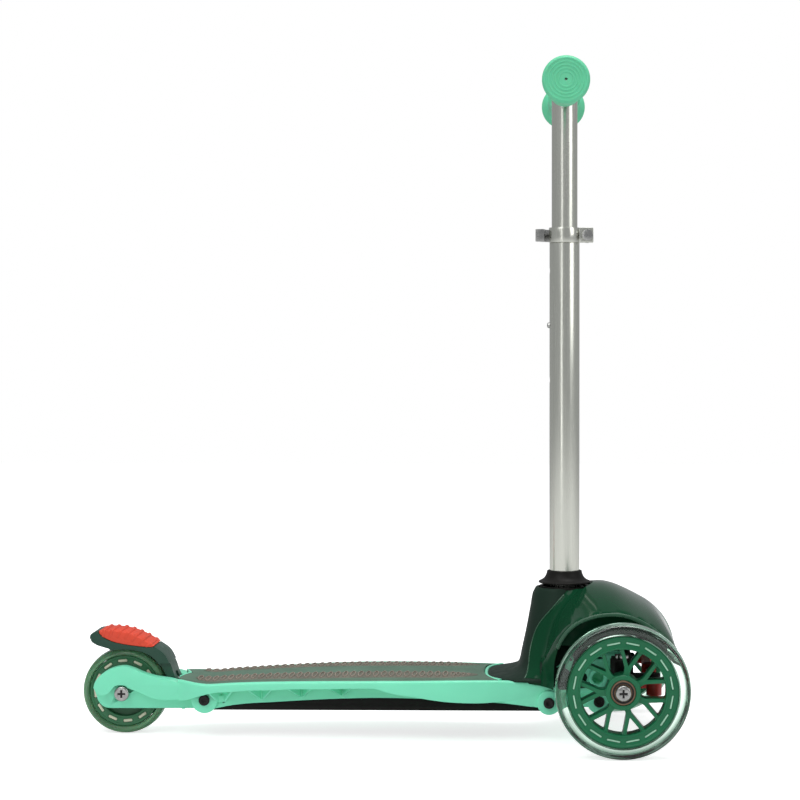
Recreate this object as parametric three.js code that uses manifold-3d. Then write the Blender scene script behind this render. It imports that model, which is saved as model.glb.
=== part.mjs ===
// Three wheel kids scooter with lean-to-steer front axle, height-adjustable handlebar and rear foot brake.
// Millimetres. +X forward, +Y to the rider's left, +Z up. The ground is Z 0, and the origin lies on it
// half way along the scooter.
import * as THREE from "three";
import { mergeVertices } from "three/addons/utils/BufferGeometryUtils.js";
import Module from "manifold-3d";

const wasm = await Module();
wasm.setup();

// Clearances shared by all pieces
const fit = 0.3;
const pivotFit = 0.3;
const overrun = 5;
const weldDistance = 0.0001;

// Numbers of sides of round forms
const sides = { wheel: 40, rim: 32, oval: 28, tube: 20, medium: 14, small: 10, tiny: 8 };

// Wheels, both kinds. Hub sizes are shared because the bearings are.
const bearing = { outer: 22, bore: 8, width: 7 };
const hub = { wall: 4.2, width: 24, stopWall: 2 };
const axle = { shank: 7.4, head: 13, headHeight: 4, headRound: 1.2 };
const spacer = { outer: 12, bore: 8 };
const frontWheel = {
  radius: 60,
  width: 24,
  ahead: 50.1,
  y: 121,
  coreRadius: 49,
  coreWidth: 20,
  rimInner: 37.6,
  slots: 16,
  slotRadius: 42.6,
  slotLength: 12.3,
  slotHeight: 1.8,
  spokes: 7,
  spokeTurn: THREE.MathUtils.degToRad(78.9),
  splitRadius: 20,
  rootThickness: 6.4,
  branchThickness: 3.3,
  spokeWidth: 16,
};
const rearWheel = {
  radius: 40,
  width: 24,
  x: -240.3,
  coreRadius: 33,
  coreWidth: 20,
  rimInner: 23.5,
  slots: 12,
  slotRadius: 28,
  slotLength: 8.4,
  slotHeight: 2.2,
  slotTurn: THREE.MathUtils.degToRad(94.5),
  webWidth: 6,
};
// Tyre outline as shares: first of the wheel's radius, or of the core's for the seat, then of half its width
const tyreShares = [
  [0.9, 1],
  [0.958, 0.93],
  [0.99, 0.7],
  [1, 0.35],
];

// Deck. The stations run from the rear of the deck to its front.
const deck = {
  rear: -187,
  length: 395,
  halfWidth: 62,
  rimHeight: 57.9,
  flangeHeight: 50.3,
  lip: 4.5,
  recess: 2,
  plate: 3.5,
  skirt: 3,
  edgeRound: 1.6,
  railY: 30.3,
  railWall: 3.6,
  ribWall: 2,
};
// Each row: station along the length, half width, rim height, flange lower edge, rail lower edge.
// They are shares of deck.length, halfWidth, rimHeight, flangeHeight and flangeHeight.
const deckShares = [
  [0, 0.54, 0.937, 0.69, 0.56],
  [0.022, 0.62, 0.926, 0.715, 0.56],
  [0.046, 0.7, 0.909, 0.785, 0.56],
  [0.072, 0.745, 0.898, 0.845, 0.56],
  [0.112, 0.775, 0.917, 0.895, 0.655],
  [0.152, 0.795, 0.934, 0.92, 0.705],
  [0.231, 0.86, 0.96, 0.95, 0.755],
  [0.31, 0.93, 0.979, 0.968, 0.78],
  [0.408, 0.99, 0.995, 0.998, 0.815],
  [0.463, 1, 0.998, 1, 0.829],
  [0.492, 1, 1, 0.922, 0.84],
  [0.54, 0.992, 1, 0.847, 0.853],
  [0.595, 0.968, 1, 0.757, 0.853],
  [0.676, 0.912, 0.998, 0.712, 0.853],
  [0.757, 0.85, 0.99, 0.724, 0.853],
  [0.805, 0.838, 0.984, 0.783, 0.853],
  [0.871, 0.838, 0.984, 0.859, 0.859],
  [0.93, 0.838, 0.94, 0.865, 0.865],
  [1, 0.838, 0.87, 0.87, 0.87],
];
const ribs = { inset: 71, pitch: 37.4, count: 4 };
const mat = { crown: 2.1, inset: 4, lineWidth: 3, lineHeight: 0.5, notchDepth: 13, notchHalf: 15 };
const beam = { inset: 21, halfWidth: 30, bottom: 26, top: 44, wall: 3, tongueLength: 13 };

// Places along X that follow the deck: its front end and the steering axis
const deckFront = deck.rear + deck.length;
const steer = { behindFront: 37.8, pivotZ: 100, footZ: 46.5 };
const steerX = deckFront - steer.behindFront;
frontWheel.x = steerX + frontWheel.ahead;
// The mat's front lies under the cowl's tongue, and the deck opens for the carrier a little ahead of it
const front = { matBehind: 54.2, openingBehind: 31.2 };
const matFront = steerX - front.matBehind;
const matRear = deck.rear + mat.inset;
const openingRear = steerX - front.openingBehind;
const beamRear = deck.rear + beam.inset;

// Lugs and their screws. Each lug stands on the outside of the rail or skirt.
const screw = { head: 10, headHeight: 3, shank: 6, length: 14 };
const rearLug = { inset: 25.2, z: 36.3, radius: 12.9, depth: 3.4 };
rearLug.x = deck.rear + rearLug.inset;
const carrierLug = {
  radius: 11.1,
  depth: 2.2,
  rearBehind: 14.6,
  rearZ: 37.5,
  frontAhead: 31,
  frontZ: 38.9,
};
const frontLugs = [
  { x: steerX - carrierLug.rearBehind, z: carrierLug.rearZ, radius: carrierLug.radius },
  { x: steerX + carrierLug.frontAhead, z: carrierLug.frontZ, radius: carrierLug.radius },
];

// Rear fork, as a web and a raised band on its outside. Outline shares are of length and height from the tip.
const fork = {
  tip: -266.3,
  length: 100,
  height: 65.3,
  inner: 16,
  web: 8.5,
  band: 3,
  hook: 7.6,
  wallX: -186,
  wall: 3,
};
const forkWebShares = [
  [1, 0.39],
  [0.103, 0.374],
  [0.053, 0.421],
  [0.013, 0.551],
];
const forkTopShares = [
  [0, 0.697],
  [0.018, 0.789],
  [0.068, 0.881],
  [0.143, 0.956],
  [0.233, 0.997],
  [0.303, 0.997],
  [0.373, 0.965],
  [0.451, 0.911],
  [0.566, 0.859],
  [0.719, 0.824],
  [0.863, 0.806],
  [1, 0.8],
];
const forkBandShares = [
  [1, 0.62],
  [0.823, 0.544],
  [0.678, 0.513],
  [0.535, 0.551],
  [0.393, 0.588],
  [0.321, 0.674],
  [0.26, 0.732],
  [0.199, 0.681],
  [0.17, 0.628],
  [0.133, 0.585],
  [0.083, 0.571],
  [0.038, 0.605],
  [0.008, 0.659],
];

// Brake. Outline shares are of the rear wheel's radius, from its axle.
const brake = {
  halfWidth: 19,
  footHalf: 15.4,
  footTop: 68,
  gap: 2.5,
  pinX: -193.5,
  pinZ: 47.5,
  pin: 5,
  foot: 5,
};
const brakeOuterShares = [
  [1.292, 0.18],
  [1.19, 0.378],
  [1.098, 0.628],
  [0.943, 0.92],
  [0.718, 1.165],
  [0.46, 1.36],
  [0.2, 1.47],
  [-0.07, 1.545],
  [-0.35, 1.555],
  [-0.63, 1.545],
  [-0.755, 1.475],
  [-0.78, 1.408],
  [-0.742, 1.325],
  [-0.655, 1.268],
  [-0.44, 1.14],
];
const padShares = [
  [-0.58, 1.5],
  [-0.375, 1.283],
  [-0.073, 1.205],
  [0.298, 1.148],
  [0.69, 1.132],
];
const padTopShares = [
  [0.69, 1.165],
  [0.485, 1.36],
  [0.21, 1.47],
  [-0.07, 1.545],
  [-0.39, 1.54],
];
const padRidges = { count: 7, width: 3.6 };
const brakeSpring = { radius: 4.2, wire: 1.2, turns: 3, slotHalf: 4.6 };

// Steering tubes, stem and handlebar. The steering axis is the vertical line through steerX.
const outerTube = {
  radius: 14,
  wall: 1.6,
  bottom: 66,
  shoulder: 458.4,
  top: 470,
  neckRadius: 13,
  slit: 1.6,
  slitDepth: 26,
};
const innerTube = { radius: 12, wall: 1.4, bottom: 215 };
const detents = { z: 381.5, pitch: 51, radius: 3, steps: [-1, 0, 1] };
const snap = { radius: 2.7, proud: 2.4, flange: 4, flangeHeight: 1, stripWidth: 5, strip: 0.6, drop: 26 };
const stem = {
  radius: 18,
  top: 113,
  socketFloor: 65.5,
  flare: 62,
  neckTop: 58,
  neckRadius: 5,
  ball: 5.5,
  trunnion: 5,
  trunnionReach: 27.7,
};
const handlebar = { z: 597, radius: 11, halfLength: 117 };
const grip = {
  inner: 35,
  end: 125,
  radius: 15.2,
  flange: 21.2,
  flangeStart: 113,
  step: 3.5,
  round: 2,
  hole: 1.25,
  seat: 120,
  collar: 17.2,
};
const collar = { rise: 3.7, height: 11.3, radius: 24.15 };
// Collar outline as shares of its rim radius and of its height above the bottom
const collarShares = [
  [0.667, 1],
  [0.7, 0.72],
  [0.77, 0.44],
  [0.88, 0.25],
  [0.985, 0.14],
  [1, 0.05],
  [0.97, 0],
];

// Clamp at the top of the outer tube
const clamp = {
  wall: 1.2,
  bottom: 458.7,
  height: 13.8,
  earReach: 26.8,
  earInner: 2,
  earOuter: 4.8,
  boltReach: 21.3,
};
clamp.earX = steerX + clamp.earReach;
clamp.boltX = steerX + clamp.boltReach;
const clampBolt = { head: 10.5, headHeight: 3, shank: 5, eye: 3.6, eyeHeight: 4.4 };
const lever = {
  pivotY: 10,
  inner: 21.5,
  outer: 25.5,
  tipInner: 18.9,
  tipOuter: 27.2,
  disc: 4.6,
  slot: 5.4,
  inset: 1.2,
};
const leverDegrees = { start: 33, end: 165, tipStart: 160, tipEnd: 184, step: 9 };
const camPin = 3.2;

// Steering linkage under the cowl
const kingpin = { y: 94, radius: 4, bottom: 42, head: 6.5, headHeight: 3.5 };
const axleBeam = {
  ahead: 2,
  thickness: 7.5,
  upperLow: 71.5,
  upperTop: 84,
  lowerLow: 43,
  lowerTop: 50.5,
  lug: 10.5,
  web: 5,
  webY: 76,
};
const knuckle = {
  hub: 9,
  low: 50.8,
  top: 71.2,
  boss: 7.5,
  bossEnd: 6.1,
  endLength: 1.5,
  armWidth: 9,
  armHeight: 4.6,
  reach: 28.7,
  end: 6,
  pin: 3.5,
  pinLow: 54,
  threadStart: 99.2,
};
const tie = { low: 52, high: 66.3, eye: 7, slack: 1.1, bar: 6.5, barLow: 54, barHigh: 63 };
const rocker = {
  ahead: 42.8,
  low: 43,
  high: 50.3,
  hub: 9,
  arm: 10,
  pin: 3.2,
  pinTop: 62,
  end: 6,
  forkInner: 6.3,
  forkOuter: 10.8,
  forkBehind: 7.2,
  rootAhead: 15.8,
  slotAhead: 10.8,
};
rocker.x = steerX + rocker.ahead;
const rockerPin = { radius: 4, bottom: 30.5, head: 7, headHeight: 3 };

// Carrier: the moulded frame that holds the stem, the rocker and the axle beam
const carrier = {
  rearBehind: 29.2,
  frontAhead: 51.8,
  floorLow: 33,
  floorHigh: 38,
  cheek: 5,
  towerHalf: 10,
  towerTop: 112,
  towerWall: 7,
  towerBehind: 27.2,
  bridgeAhead: 20.3,
  bridgeWall: 7.5,
  bridgeLow: 60,
  top: 84.5,
};
carrier.rear = steerX - carrier.rearBehind;
carrier.front = steerX + carrier.frontAhead;
carrier.towerRear = steerX - carrier.towerBehind;
carrier.bridge = steerX + carrier.bridgeAhead;
const cheekShares = [
  [0, 0],
  [0, 0.38],
  [0.12, 0.4],
  [0.2, 0.62],
  [0.4, 0.9],
  [0.7, 1],
  [1, 1],
  [1, 0.84],
  [0.9, 0.56],
  [0.84, 0.3],
  [0.8, 0],
];
const cheekBoss = { ahead: 29.8, z: 61.3, radius: 8.5, reach: 12, bore: 5.5 };
cheekBoss.x = steerX + cheekBoss.ahead;
const rubber = { inner: 18.3, outer: 30, halfLength: 9, low: 68, high: 82 };
const rubberWall = { thickness: 4, halfLength: 12, top: 86 };
const beamBolt = { head: 10, headHeight: 3.5, shank: 5, length: 16, z: 77.75, boss: 6 };

// Cowl: a tapered neck joined to a hood that reaches over both front wheels
const cowl = {
  wall: 3,
  bottom: 51,
  rise: 11.1,
  archGap: 3.5,
  lip: 3,
  archInner: 58,
  pocketX: 26.5,
  pocketY: 33,
  throat: 21,
};
// The neck ends a little above the wheel arches and starts where its tongue lies on the deck.
const neckTop = 2 * frontWheel.radius + cowl.archGap + cowl.lip + cowl.rise;
const neck = { seat: 0.5, skirt: 6.3, rearReach: 71.2, frontReach: 37.8, halfWidth: 56 };
const tongueZ = deck.rimHeight - neck.seat;
// Neck sections from the top down, as shares of the rise above the tongue, or of neck.skirt below it, then of
// rearReach, frontReach and halfWidth, and squareness. The reaches start at the steering axis.
const neckShares = [
  [1, 0.382, 0.497, 0.429, 2],
  [0.93, 0.416, 0.55, 0.446, 2],
  [0.791, 0.444, 0.656, 0.5, 2.1],
  [0.652, 0.472, 0.762, 0.562, 2.2],
  [0.509, 0.503, 0.868, 0.634, 2.3],
  [0.37, 0.537, 0.921, 0.714, 2.4],
  [0.232, 0.57, 0.974, 0.812, 2.6],
  [0.161, 0.586, 1, 0.866, 2.7],
  [0.091, 0.625, 1, 0.929, 2.8],
  [0.043, 0.733, 1, 0.955, 3],
  [0.019, 0.888, 1, 0.973, 3],
  [0, 1, 1, 0.982, 3],
  [-0.305, 1, 1, 0.982, 3],
  [-0.37, 0.635, 1, 0.991, 3],
  [-1, 0.621, 1, 1, 3],
];
// The row of neckShares that is the edge of the tongue on the deck
const tongueRow = 11;
// Hood stations from rear to front, as shares of hood.length, halfWidth and hoodRidge,
// and then the spread and the fall of the flank between ridge and side
const hood = { behind: 20.2, length: 123.5, halfWidth: 97, rise: 4.7 };
const hoodRear = steerX - hood.behind;
const hoodRidge = neckTop + hood.rise;
const hoodShares = [
  [0, 0.588, 0.815, 1.1, 1.5],
  [0.057, 0.68, 0.864, 1.15, 1.4],
  [0.113, 0.825, 0.91, 1.2, 1.35],
  [0.178, 0.938, 0.949, 1.3, 1.3],
  [0.251, 0.985, 0.98, 1.45, 1.2],
  [0.34, 1, 1, 1.7, 1.1],
  [0.432, 1, 0.999, 1.9, 1],
  [0.529, 1, 0.98, 2, 1],
  [0.624, 1, 0.942, 2.1, 1],
  [0.721, 1, 0.896, 2.3, 1],
  [0.794, 0.995, 0.859, 2.6, 1],
  [0.852, 0.99, 0.817, 3.2, 1],
  [0.895, 0.985, 0.773, 4, 1],
  [0.931, 0.979, 0.724, 5, 1],
  [0.964, 0.969, 0.668, 6, 1],
  [0.986, 0.959, 0.59, 6, 1],
  [1, 0.948, 0.464, 6, 1],
];

// Wheel arch as angle about the axle and share of its radius. The front end draws in.
const archShares = [
  [0, 0.87],
  [12, 0.875],
  [24, 0.89],
  [34, 0.915],
  [42, 0.945],
  [50, 0.975],
  [60, 1],
  [72, 1],
  [84, 1],
  [96, 1],
  [108, 1],
  [120, 1],
  [132, 1],
  [144, 1],
  [156, 1],
  [168, 1],
  [180, 1],
];
const lipDegrees = { from: 34, to: 120 };


// Finishes
function finish(colour, roughness, metalness = 0) {
  return new THREE.MeshStandardMaterial({ color: colour, roughness, metalness });
}

const mint = finish(0x77e4bb, 0.35);
const darkGreen = finish(0x15462b, 0.2);
const wheelGreen = finish(0x27895d, 0.3);
const clearTyre = finish(0xcfe4da, 0.1);
const greenTyre = finish(0x559a64, 0.25);
const matGrey = finish(0x6b8574, 0.8);
const black = finish(0x15140f, 0.5);
const redPlastic = finish(0xa02a22, 0.4);
const orangeRubber = finish(0xda5a3f, 0.5);
const gripRubber = finish(0x74d4a8, 0.6);
const aluminium = finish(0xc8c9bb, 0.3, 1);
const zinc = finish(0xb8b6b2, 0.25, 1);
const steel = finish(0x8a8a88, 0.35, 1);
const rubberBlack = finish(0x1f1f1f, 0.8);

// Turns a closed three.js geometry into a solid, facing out whichever way its faces were listed
function solid(geometry) {
  const bare = geometry.index ? geometry.toNonIndexed() : geometry.clone();
  bare.deleteAttribute("normal");
  bare.deleteAttribute("uv");
  const merged = mergeVertices(bare, weldDistance);
  const vertProperties = new Float32Array(merged.attributes.position.array);
  const triVerts = new Uint32Array(merged.index.array);
  const made = new wasm.Manifold(new wasm.Mesh({ numProp: 3, vertProperties, triVerts }));
  if (made.volume() >= 0) return made;
  for (let i = 0; i < triVerts.length; i += 3) {
    const kept = triVerts[i];
    triVerts[i] = triVerts[i + 1];
    triVerts[i + 1] = kept;
  }
  return new wasm.Manifold(new wasm.Mesh({ numProp: 3, vertProperties, triVerts }));
}

function geometryOf(made) {
  const mesh = made.getMesh();
  const geometry = new THREE.BufferGeometry();
  geometry.setAttribute("position", new THREE.BufferAttribute(new Float32Array(mesh.vertProperties), 3));
  geometry.setIndex(new THREE.BufferAttribute(new Uint32Array(mesh.triVerts), 1));
  geometry.computeVertexNormals();
  return geometry;
}

function join(pieces) {
  return pieces.reduce((whole, piece) => whole.add(piece));
}

// The same solid on the rider's right
function mirrored(made) {
  return solid(geometryOf(made).scale(1, -1, 1));
}

function onSide(made, side) {
  return side > 0 ? made : mirrored(made);
}

const cylinderAxis = new THREE.Vector3(0, 1, 0);

// A round bar of one radius, from one point to another along X, Y or Z
function bar(radius, from, to, count) {
  const start = new THREE.Vector3(...from);
  const run = new THREE.Vector3(...to).sub(start);
  const geometry = new THREE.CylinderGeometry(radius, radius, run.length(), count);
  geometry.applyQuaternion(
    new THREE.Quaternion().setFromUnitVectors(cylinderAxis, run.clone().normalize())
  );
  const middle = start.addScaledVector(run, 0.5);
  return solid(geometry.translate(middle.x, middle.y, middle.z));
}

function block(low, high) {
  const size = high.map((value, i) => value - low[i]);
  const middle = high.map((value, i) => (value + low[i]) / 2);
  return solid(new THREE.BoxGeometry(...size).translate(...middle));
}

// A closed profile of [radius, along] points turned about the Y axis
function turnedY(profile, count) {
  const points = profile.map(([radius, along]) => new THREE.Vector2(radius, along));
  return solid(new THREE.LatheGeometry([...points, points[0].clone()], count));
}

function turnedZ(profile, x, y, count) {
  const points = profile.map(([radius, along]) => new THREE.Vector2(radius, along));
  const geometry = new THREE.LatheGeometry([...points, points[0].clone()], count);
  return solid(geometry.rotateX(Math.PI / 2).translate(x, y, 0));
}

function shapeOf(points) {
  return new THREE.Shape(points.map(([a, b]) => new THREE.Vector2(a, b)));
}

// An outline in X and Z, thick along Y
function slabY(points, low, high) {
  const geometry = new THREE.ExtrudeGeometry(shapeOf(points), { depth: high - low, bevelEnabled: false });
  return solid(geometry.rotateX(Math.PI / 2).translate(0, high, 0));
}

// An outline in X and Y, thick along Z
function slabZ(points, low, high) {
  const geometry = new THREE.ExtrudeGeometry(shapeOf(points), { depth: high - low, bevelEnabled: false });
  return solid(geometry.translate(0, 0, low));
}

// A straight wall between two points of the ground plan
function wallZ([ax, ay], [bx, by], thickness, low, high) {
  const run = new THREE.Vector2(bx - ax, by - ay);
  const across = new THREE.Vector2(-run.y, run.x).normalize().multiplyScalar(thickness / 2);
  return slabZ(
    [
      [ax + across.x, ay + across.y],
      [ax - across.x, ay - across.y],
      [bx - across.x, by - across.y],
      [bx + across.x, by + across.y],
    ],
    low,
    high
  );
}

// A skin over closed rings with equal numbers of points, with flat ends. flat gives a ring's own plane.
function loft(rings, flat) {
  const count = rings[0].length;
  const positions = rings.flat().flatMap((point) => [point.x, point.y, point.z]);
  const faces = [];
  for (let r = 0; r < rings.length - 1; r += 1) {
    for (let i = 0; i < count; i += 1) {
      const a = r * count + i;
      const b = r * count + ((i + 1) % count);
      faces.push(a, b, b + count, a, b + count, a + count);
    }
  }
  const ends = [
    [rings[0], 0, false],
    [rings[rings.length - 1], (rings.length - 1) * count, true],
  ];
  for (const [ring, base, last] of ends) {
    const outline = ring.map(flat);
    const along = THREE.ShapeUtils.area(outline) > 0;
    for (const face of THREE.ShapeUtils.triangulateShape(outline, [])) {
      const turnedOut = THREE.ShapeUtils.area(face.map((i) => outline[i])) > 0;
      const ordered = (turnedOut === along) === last ? face : [face[0], face[2], face[1]];
      faces.push(...ordered.map((i) => base + i));
    }
  }
  const geometry = new THREE.BufferGeometry();
  geometry.setAttribute("position", new THREE.Float32BufferAttribute(positions, 3));
  geometry.setIndex(faces);
  return solid(geometry);
}

const flatX = (point) => new THREE.Vector2(point.y, point.z);
const flatZ = (point) => new THREE.Vector2(point.x, point.y);

// A helix about a line along Y, as one tube with straight legs
function coilY(middle, radius, wire, turns, legLength) {
  const pitch = wire + fit;
  const points = [];
  const stepsPerTurn = 8;
  const steps = turns * stepsPerTurn;
  const firstLeg = new THREE.Vector3(
    middle[0] + radius,
    middle[1] - (turns * pitch) / 2,
    middle[2] + legLength
  );
  points.push(firstLeg);
  for (let i = 0; i <= steps; i += 1) {
    const turn = (i / stepsPerTurn) * Math.PI * 2;
    points.push(
      new THREE.Vector3(
        middle[0] + radius * Math.cos(turn),
        middle[1] + (i / stepsPerTurn - turns / 2) * pitch,
        middle[2] - radius * Math.sin(turn)
      )
    );
  }
  points.push(
    new THREE.Vector3(middle[0] + radius, middle[1] + (turns * pitch) / 2, middle[2] - legLength)
  );
  const path = new THREE.CatmullRomCurve3(points);
  const section = new THREE.Shape();
  section.absarc(0, 0, wire / 2, 0, Math.PI * 2);
  return solid(
    new THREE.ExtrudeGeometry(
      section,
      { extrudePath: path, steps: steps + 8, curveSegments: 3, bevelEnabled: false }
    )
  );
}

const scooter = new THREE.Group();

function place(name, made, material, parent = scooter) {
  const mesh = new THREE.Mesh(geometryOf(made), material.clone());
  mesh.name = name;
  parent.add(mesh);
  return mesh;
}

// Wheels: each is built about its own axle, which lies along Y

function tyre(wheel) {
  const half = wheel.width / 2;
  const seat = [wheel.coreRadius + fit, half * 0.9];
  const shoulder = tyreShares.map(([r, w]) => [wheel.radius * r, half * w]);
  const upper = [seat, ...shoulder];
  const lower = upper.map(([r, y]) => [r, -y]).reverse();
  return turnedY([...upper, ...lower], sides.wheel);
}

function hubBody() {
  const half = hub.width / 2;
  const seat = bearing.outer / 2 + fit;
  const stop = half - bearing.width;
  const profile = [
    [seat, half],
    [seat + hub.wall, half],
    [seat + hub.wall, -half],
    [seat, -half],
    [seat, -stop],
    [seat - hub.stopWall, -stop],
    [seat - hub.stopWall, stop],
    [seat, stop],
  ];
  return turnedY(profile, sides.tube);
}

function rimRing(wheel) {
  const half = wheel.coreWidth / 2;
  const profile = [
    [wheel.rimInner, half],
    [wheel.coreRadius, half],
    [wheel.coreRadius, -half],
    [wheel.rimInner, -half],
  ];
  const ring = turnedY(profile, sides.rim);
  const slots = [];
  for (let i = 0; i < wheel.slots; i += 1) {
    const turn = (wheel.slotTurn ?? 0) + ((i + 0.5) / wheel.slots) * Math.PI * 2;
    const slot = new THREE.BoxGeometry(wheel.slotHeight, wheel.coreWidth + overrun, wheel.slotLength);
    slot.translate(wheel.slotRadius, 0, 0).rotateY(-turn);
    slots.push(solid(slot));
  }
  return ring.subtract(join(slots));
}

// A straight spoke piece in the wheel's plane, between two points given as radius and angle
function spokePiece([fromRadius, fromTurn], [toRadius, toTurn], thickness, width) {
  const from = new THREE.Vector2(Math.cos(fromTurn), Math.sin(fromTurn)).multiplyScalar(fromRadius);
  const to = new THREE.Vector2(Math.cos(toTurn), Math.sin(toTurn)).multiplyScalar(toRadius);
  const run = to.clone().sub(from);
  const piece = new THREE.BoxGeometry(run.length(), width, thickness);
  piece.rotateY(-run.angle()).translate((from.x + to.x) / 2, 0, (from.y + to.y) / 2);
  return solid(piece);
}

function frontCore() {
  const wheel = frontWheel;
  const pieces = [hubBody(), rimRing(wheel)];
  const hubRadius = bearing.outer / 2 + fit + hub.wall / 2;
  const rimRadius = wheel.rimInner + wheel.branchThickness / 2;
  for (let i = 0; i < wheel.spokes; i += 1) {
    const turn = wheel.spokeTurn + (i / wheel.spokes) * Math.PI * 2;
    const split = [wheel.splitRadius, turn];
    pieces.push(spokePiece([hubRadius, turn], split, wheel.rootThickness, wheel.spokeWidth));
    for (const branch of [-1, 1]) {
      const end = [rimRadius, turn + (branch * Math.PI) / wheel.spokes / 2];
      pieces.push(spokePiece(split, end, wheel.branchThickness, wheel.spokeWidth));
    }
  }
  return join(pieces);
}

function rearCore() {
  const wheel = rearWheel;
  const half = wheel.webWidth / 2;
  const from = bearing.outer / 2 + fit + hub.wall / 2;
  const to = wheel.rimInner + (wheel.slotRadius - wheel.rimInner) / 4;
  const profile = [
    [from, half],
    [to, half],
    [to, -half],
    [from, -half],
  ];
  return join([hubBody(), rimRing(wheel), turnedY(profile, sides.rim)]);
}

function ballBearing() {
  const half = (bearing.width - fit) / 2;
  const profile = [
    [bearing.bore / 2, -half],
    [bearing.outer / 2, -half],
    [bearing.outer / 2, half],
    [bearing.bore / 2, half],
  ];
  return turnedY(profile, sides.medium);
}

function bearingSpacer() {
  const half = hub.width / 2 - bearing.width - fit;
  const profile = [
    [spacer.bore / 2, half],
    [spacer.outer / 2, half],
    [spacer.outer / 2, -half],
    [spacer.bore / 2, -half],
  ];
  return turnedY(profile, sides.small);
}

// A bolt along Y: its head's seat is at Y 0, the head lies at positive Y and the shank at negative
function boltY(head, headHeight, shank, length, count) {
  const profile = [
    [0, headHeight],
    [head / 2 - axle.headRound, headHeight],
    [head / 2, headHeight - axle.headRound],
    [head / 2, 0],
    [shank / 2, 0],
    [shank / 2, -length],
    [0, -length],
  ];
  return turnedY(profile, count);
}

function addWheel(prefix, wheel, y) {
  const group = new THREE.Group();
  group.position.set(wheel.x, y, wheel.radius);
  scooter.add(group);
  const front = wheel === frontWheel;
  place(`${prefix}_tyre`, tyre(wheel), front ? clearTyre : greenTyre, group);
  place(`${prefix}_core`, front ? frontCore() : rearCore(), wheelGreen, group);
  const seat = (hub.width - bearing.width) / 2 + fit / 2;
  for (const [label, side] of [
    ["left", 1],
    ["right", -1],
  ]) {
    const mesh = place(`${prefix}_bearing_${label}`, ballBearing(), steel, group);
    mesh.position.y = side * seat;
    if (side < 0) mesh.rotation.z = Math.PI;
  }
  place(`${prefix}_bearing_spacer`, bearingSpacer(), steel, group);
  return group;
}

// Front wheels, with the bolt that holds each on its knuckle
for (const [label, side] of [
  ["left", 1],
  ["right", -1],
]) {
  const group = addWheel(`front_${label}_wheel`, frontWheel, side * frontWheel.y);
  const seat = hub.width / 2 + 2 * fit;
  const length = frontWheel.y + seat - knuckle.threadStart - 1.5 * fit;
  const bolt = place(
    `front_${label}_axle_bolt`,
    boltY(axle.head, axle.headHeight, axle.shank, length, sides.small),
    zinc,
    group
  );
  bolt.position.y = side * seat;
  if (side < 0) bolt.rotation.z = Math.PI;
}

// Rear wheel, its bolt and nut
addWheel("rear_wheel", rearWheel, 0);
const webOuter = fork.inner + fork.web;
{
  const seat = webOuter + fit;
  const length = 2 * seat + axle.headHeight + fit;
  const bolt = boltY(axle.head, axle.headHeight, axle.shank, length, sides.small);
  const mesh = place("rear_axle_bolt", bolt, zinc);
  mesh.position.set(rearWheel.x, -seat, rearWheel.radius);
  mesh.rotation.z = Math.PI;
  const hexagon = bar(axle.head / 2, [0, 0, 0], [0, axle.headHeight, 0], 6);
  const threaded = hexagon.subtract(
    bar(axle.shank / 2 + fit, [0, -overrun, 0], [0, axle.headHeight + overrun, 0], sides.small)
  );
  const nut = place("rear_axle_nut", threaded, zinc);
  nut.position.set(rearWheel.x, seat, rearWheel.radius);
}

// Deck

// The deck's measures at a place in X, between the stations of deckShares
function deckAt(x) {
  const share = THREE.MathUtils.clamp((x - deck.rear) / deck.length, 0, 1);
  let i = deckShares.findIndex(([station]) => station >= share);
  i = Math.max(i, 1);
  const low = deckShares[i - 1];
  const high = deckShares[i];
  const mix = (share - low[0]) / (high[0] - low[0]);
  const between = low.map((value, k) => value + (high[k] - value) * mix);
  return {
    half: between[1] * deck.halfWidth,
    rim: between[2] * deck.rimHeight,
    flange: between[3] * deck.flangeHeight,
    rail: between[4] * deck.flangeHeight,
  };
}

const deckPlaces = deckShares.map(([station]) => deck.rear + station * deck.length);

// Half of a deck section's top line, from the lower edge of the flange to the middle
function deckTop(x, grow) {
  const at = deckAt(x);
  return [
    [at.half + grow, at.rim - deck.edgeRound + grow],
    [at.half - deck.edgeRound / 2 + grow / 2, at.rim - deck.edgeRound / 4 + grow],
    [at.half - deck.edgeRound * 2, at.rim + grow],
    [at.half - deck.lip, at.rim + grow],
    [at.half - deck.lip, at.rim - deck.recess + grow],
  ];
}

function ringX(x, half) {
  const left = half.map(([y, z]) => new THREE.Vector3(x, y, z));
  const right = half.map(([y, z]) => new THREE.Vector3(x, -y, z)).reverse();
  return [...left, ...right];
}

// The deck's outside, grown by a clearance and closed far below, to cut what sits on it
function deckEnvelope(grow) {
  const rings = deckPlaces.map((x) => {
    const at = deckAt(x);
    return ringX(x, [[at.half + grow, 0], ...deckTop(x, grow)]);
  });
  return loft(rings, flatX);
}

function deckShell() {
  const rings = deckPlaces.map((x) => {
    const at = deckAt(x);
    const under = at.rim - deck.recess - deck.plate;
    const inside = [
      [at.half - deck.skirt, under],
      [at.half - deck.skirt, at.flange],
      [at.half, at.flange],
    ];
    return ringX(x, [...inside, ...deckTop(x, 0)]);
  });
  return loft(rings, flatX);
}

function deckRail() {
  const places = deckPlaces.filter((x) => x > beamRear - overrun && x < openingRear);
  const rings = [...places, openingRear].map((x) => {
    const at = deckAt(x);
    const top = at.rim - deck.recess - deck.plate / 2;
    const outer = deck.railY + deck.railWall;
    return [
      new THREE.Vector3(x, deck.railY, at.rail),
      new THREE.Vector3(x, outer, at.rail),
      new THREE.Vector3(x, outer, top),
      new THREE.Vector3(x, deck.railY, top),
    ];
  });
  return loft(rings, flatX);
}

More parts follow.
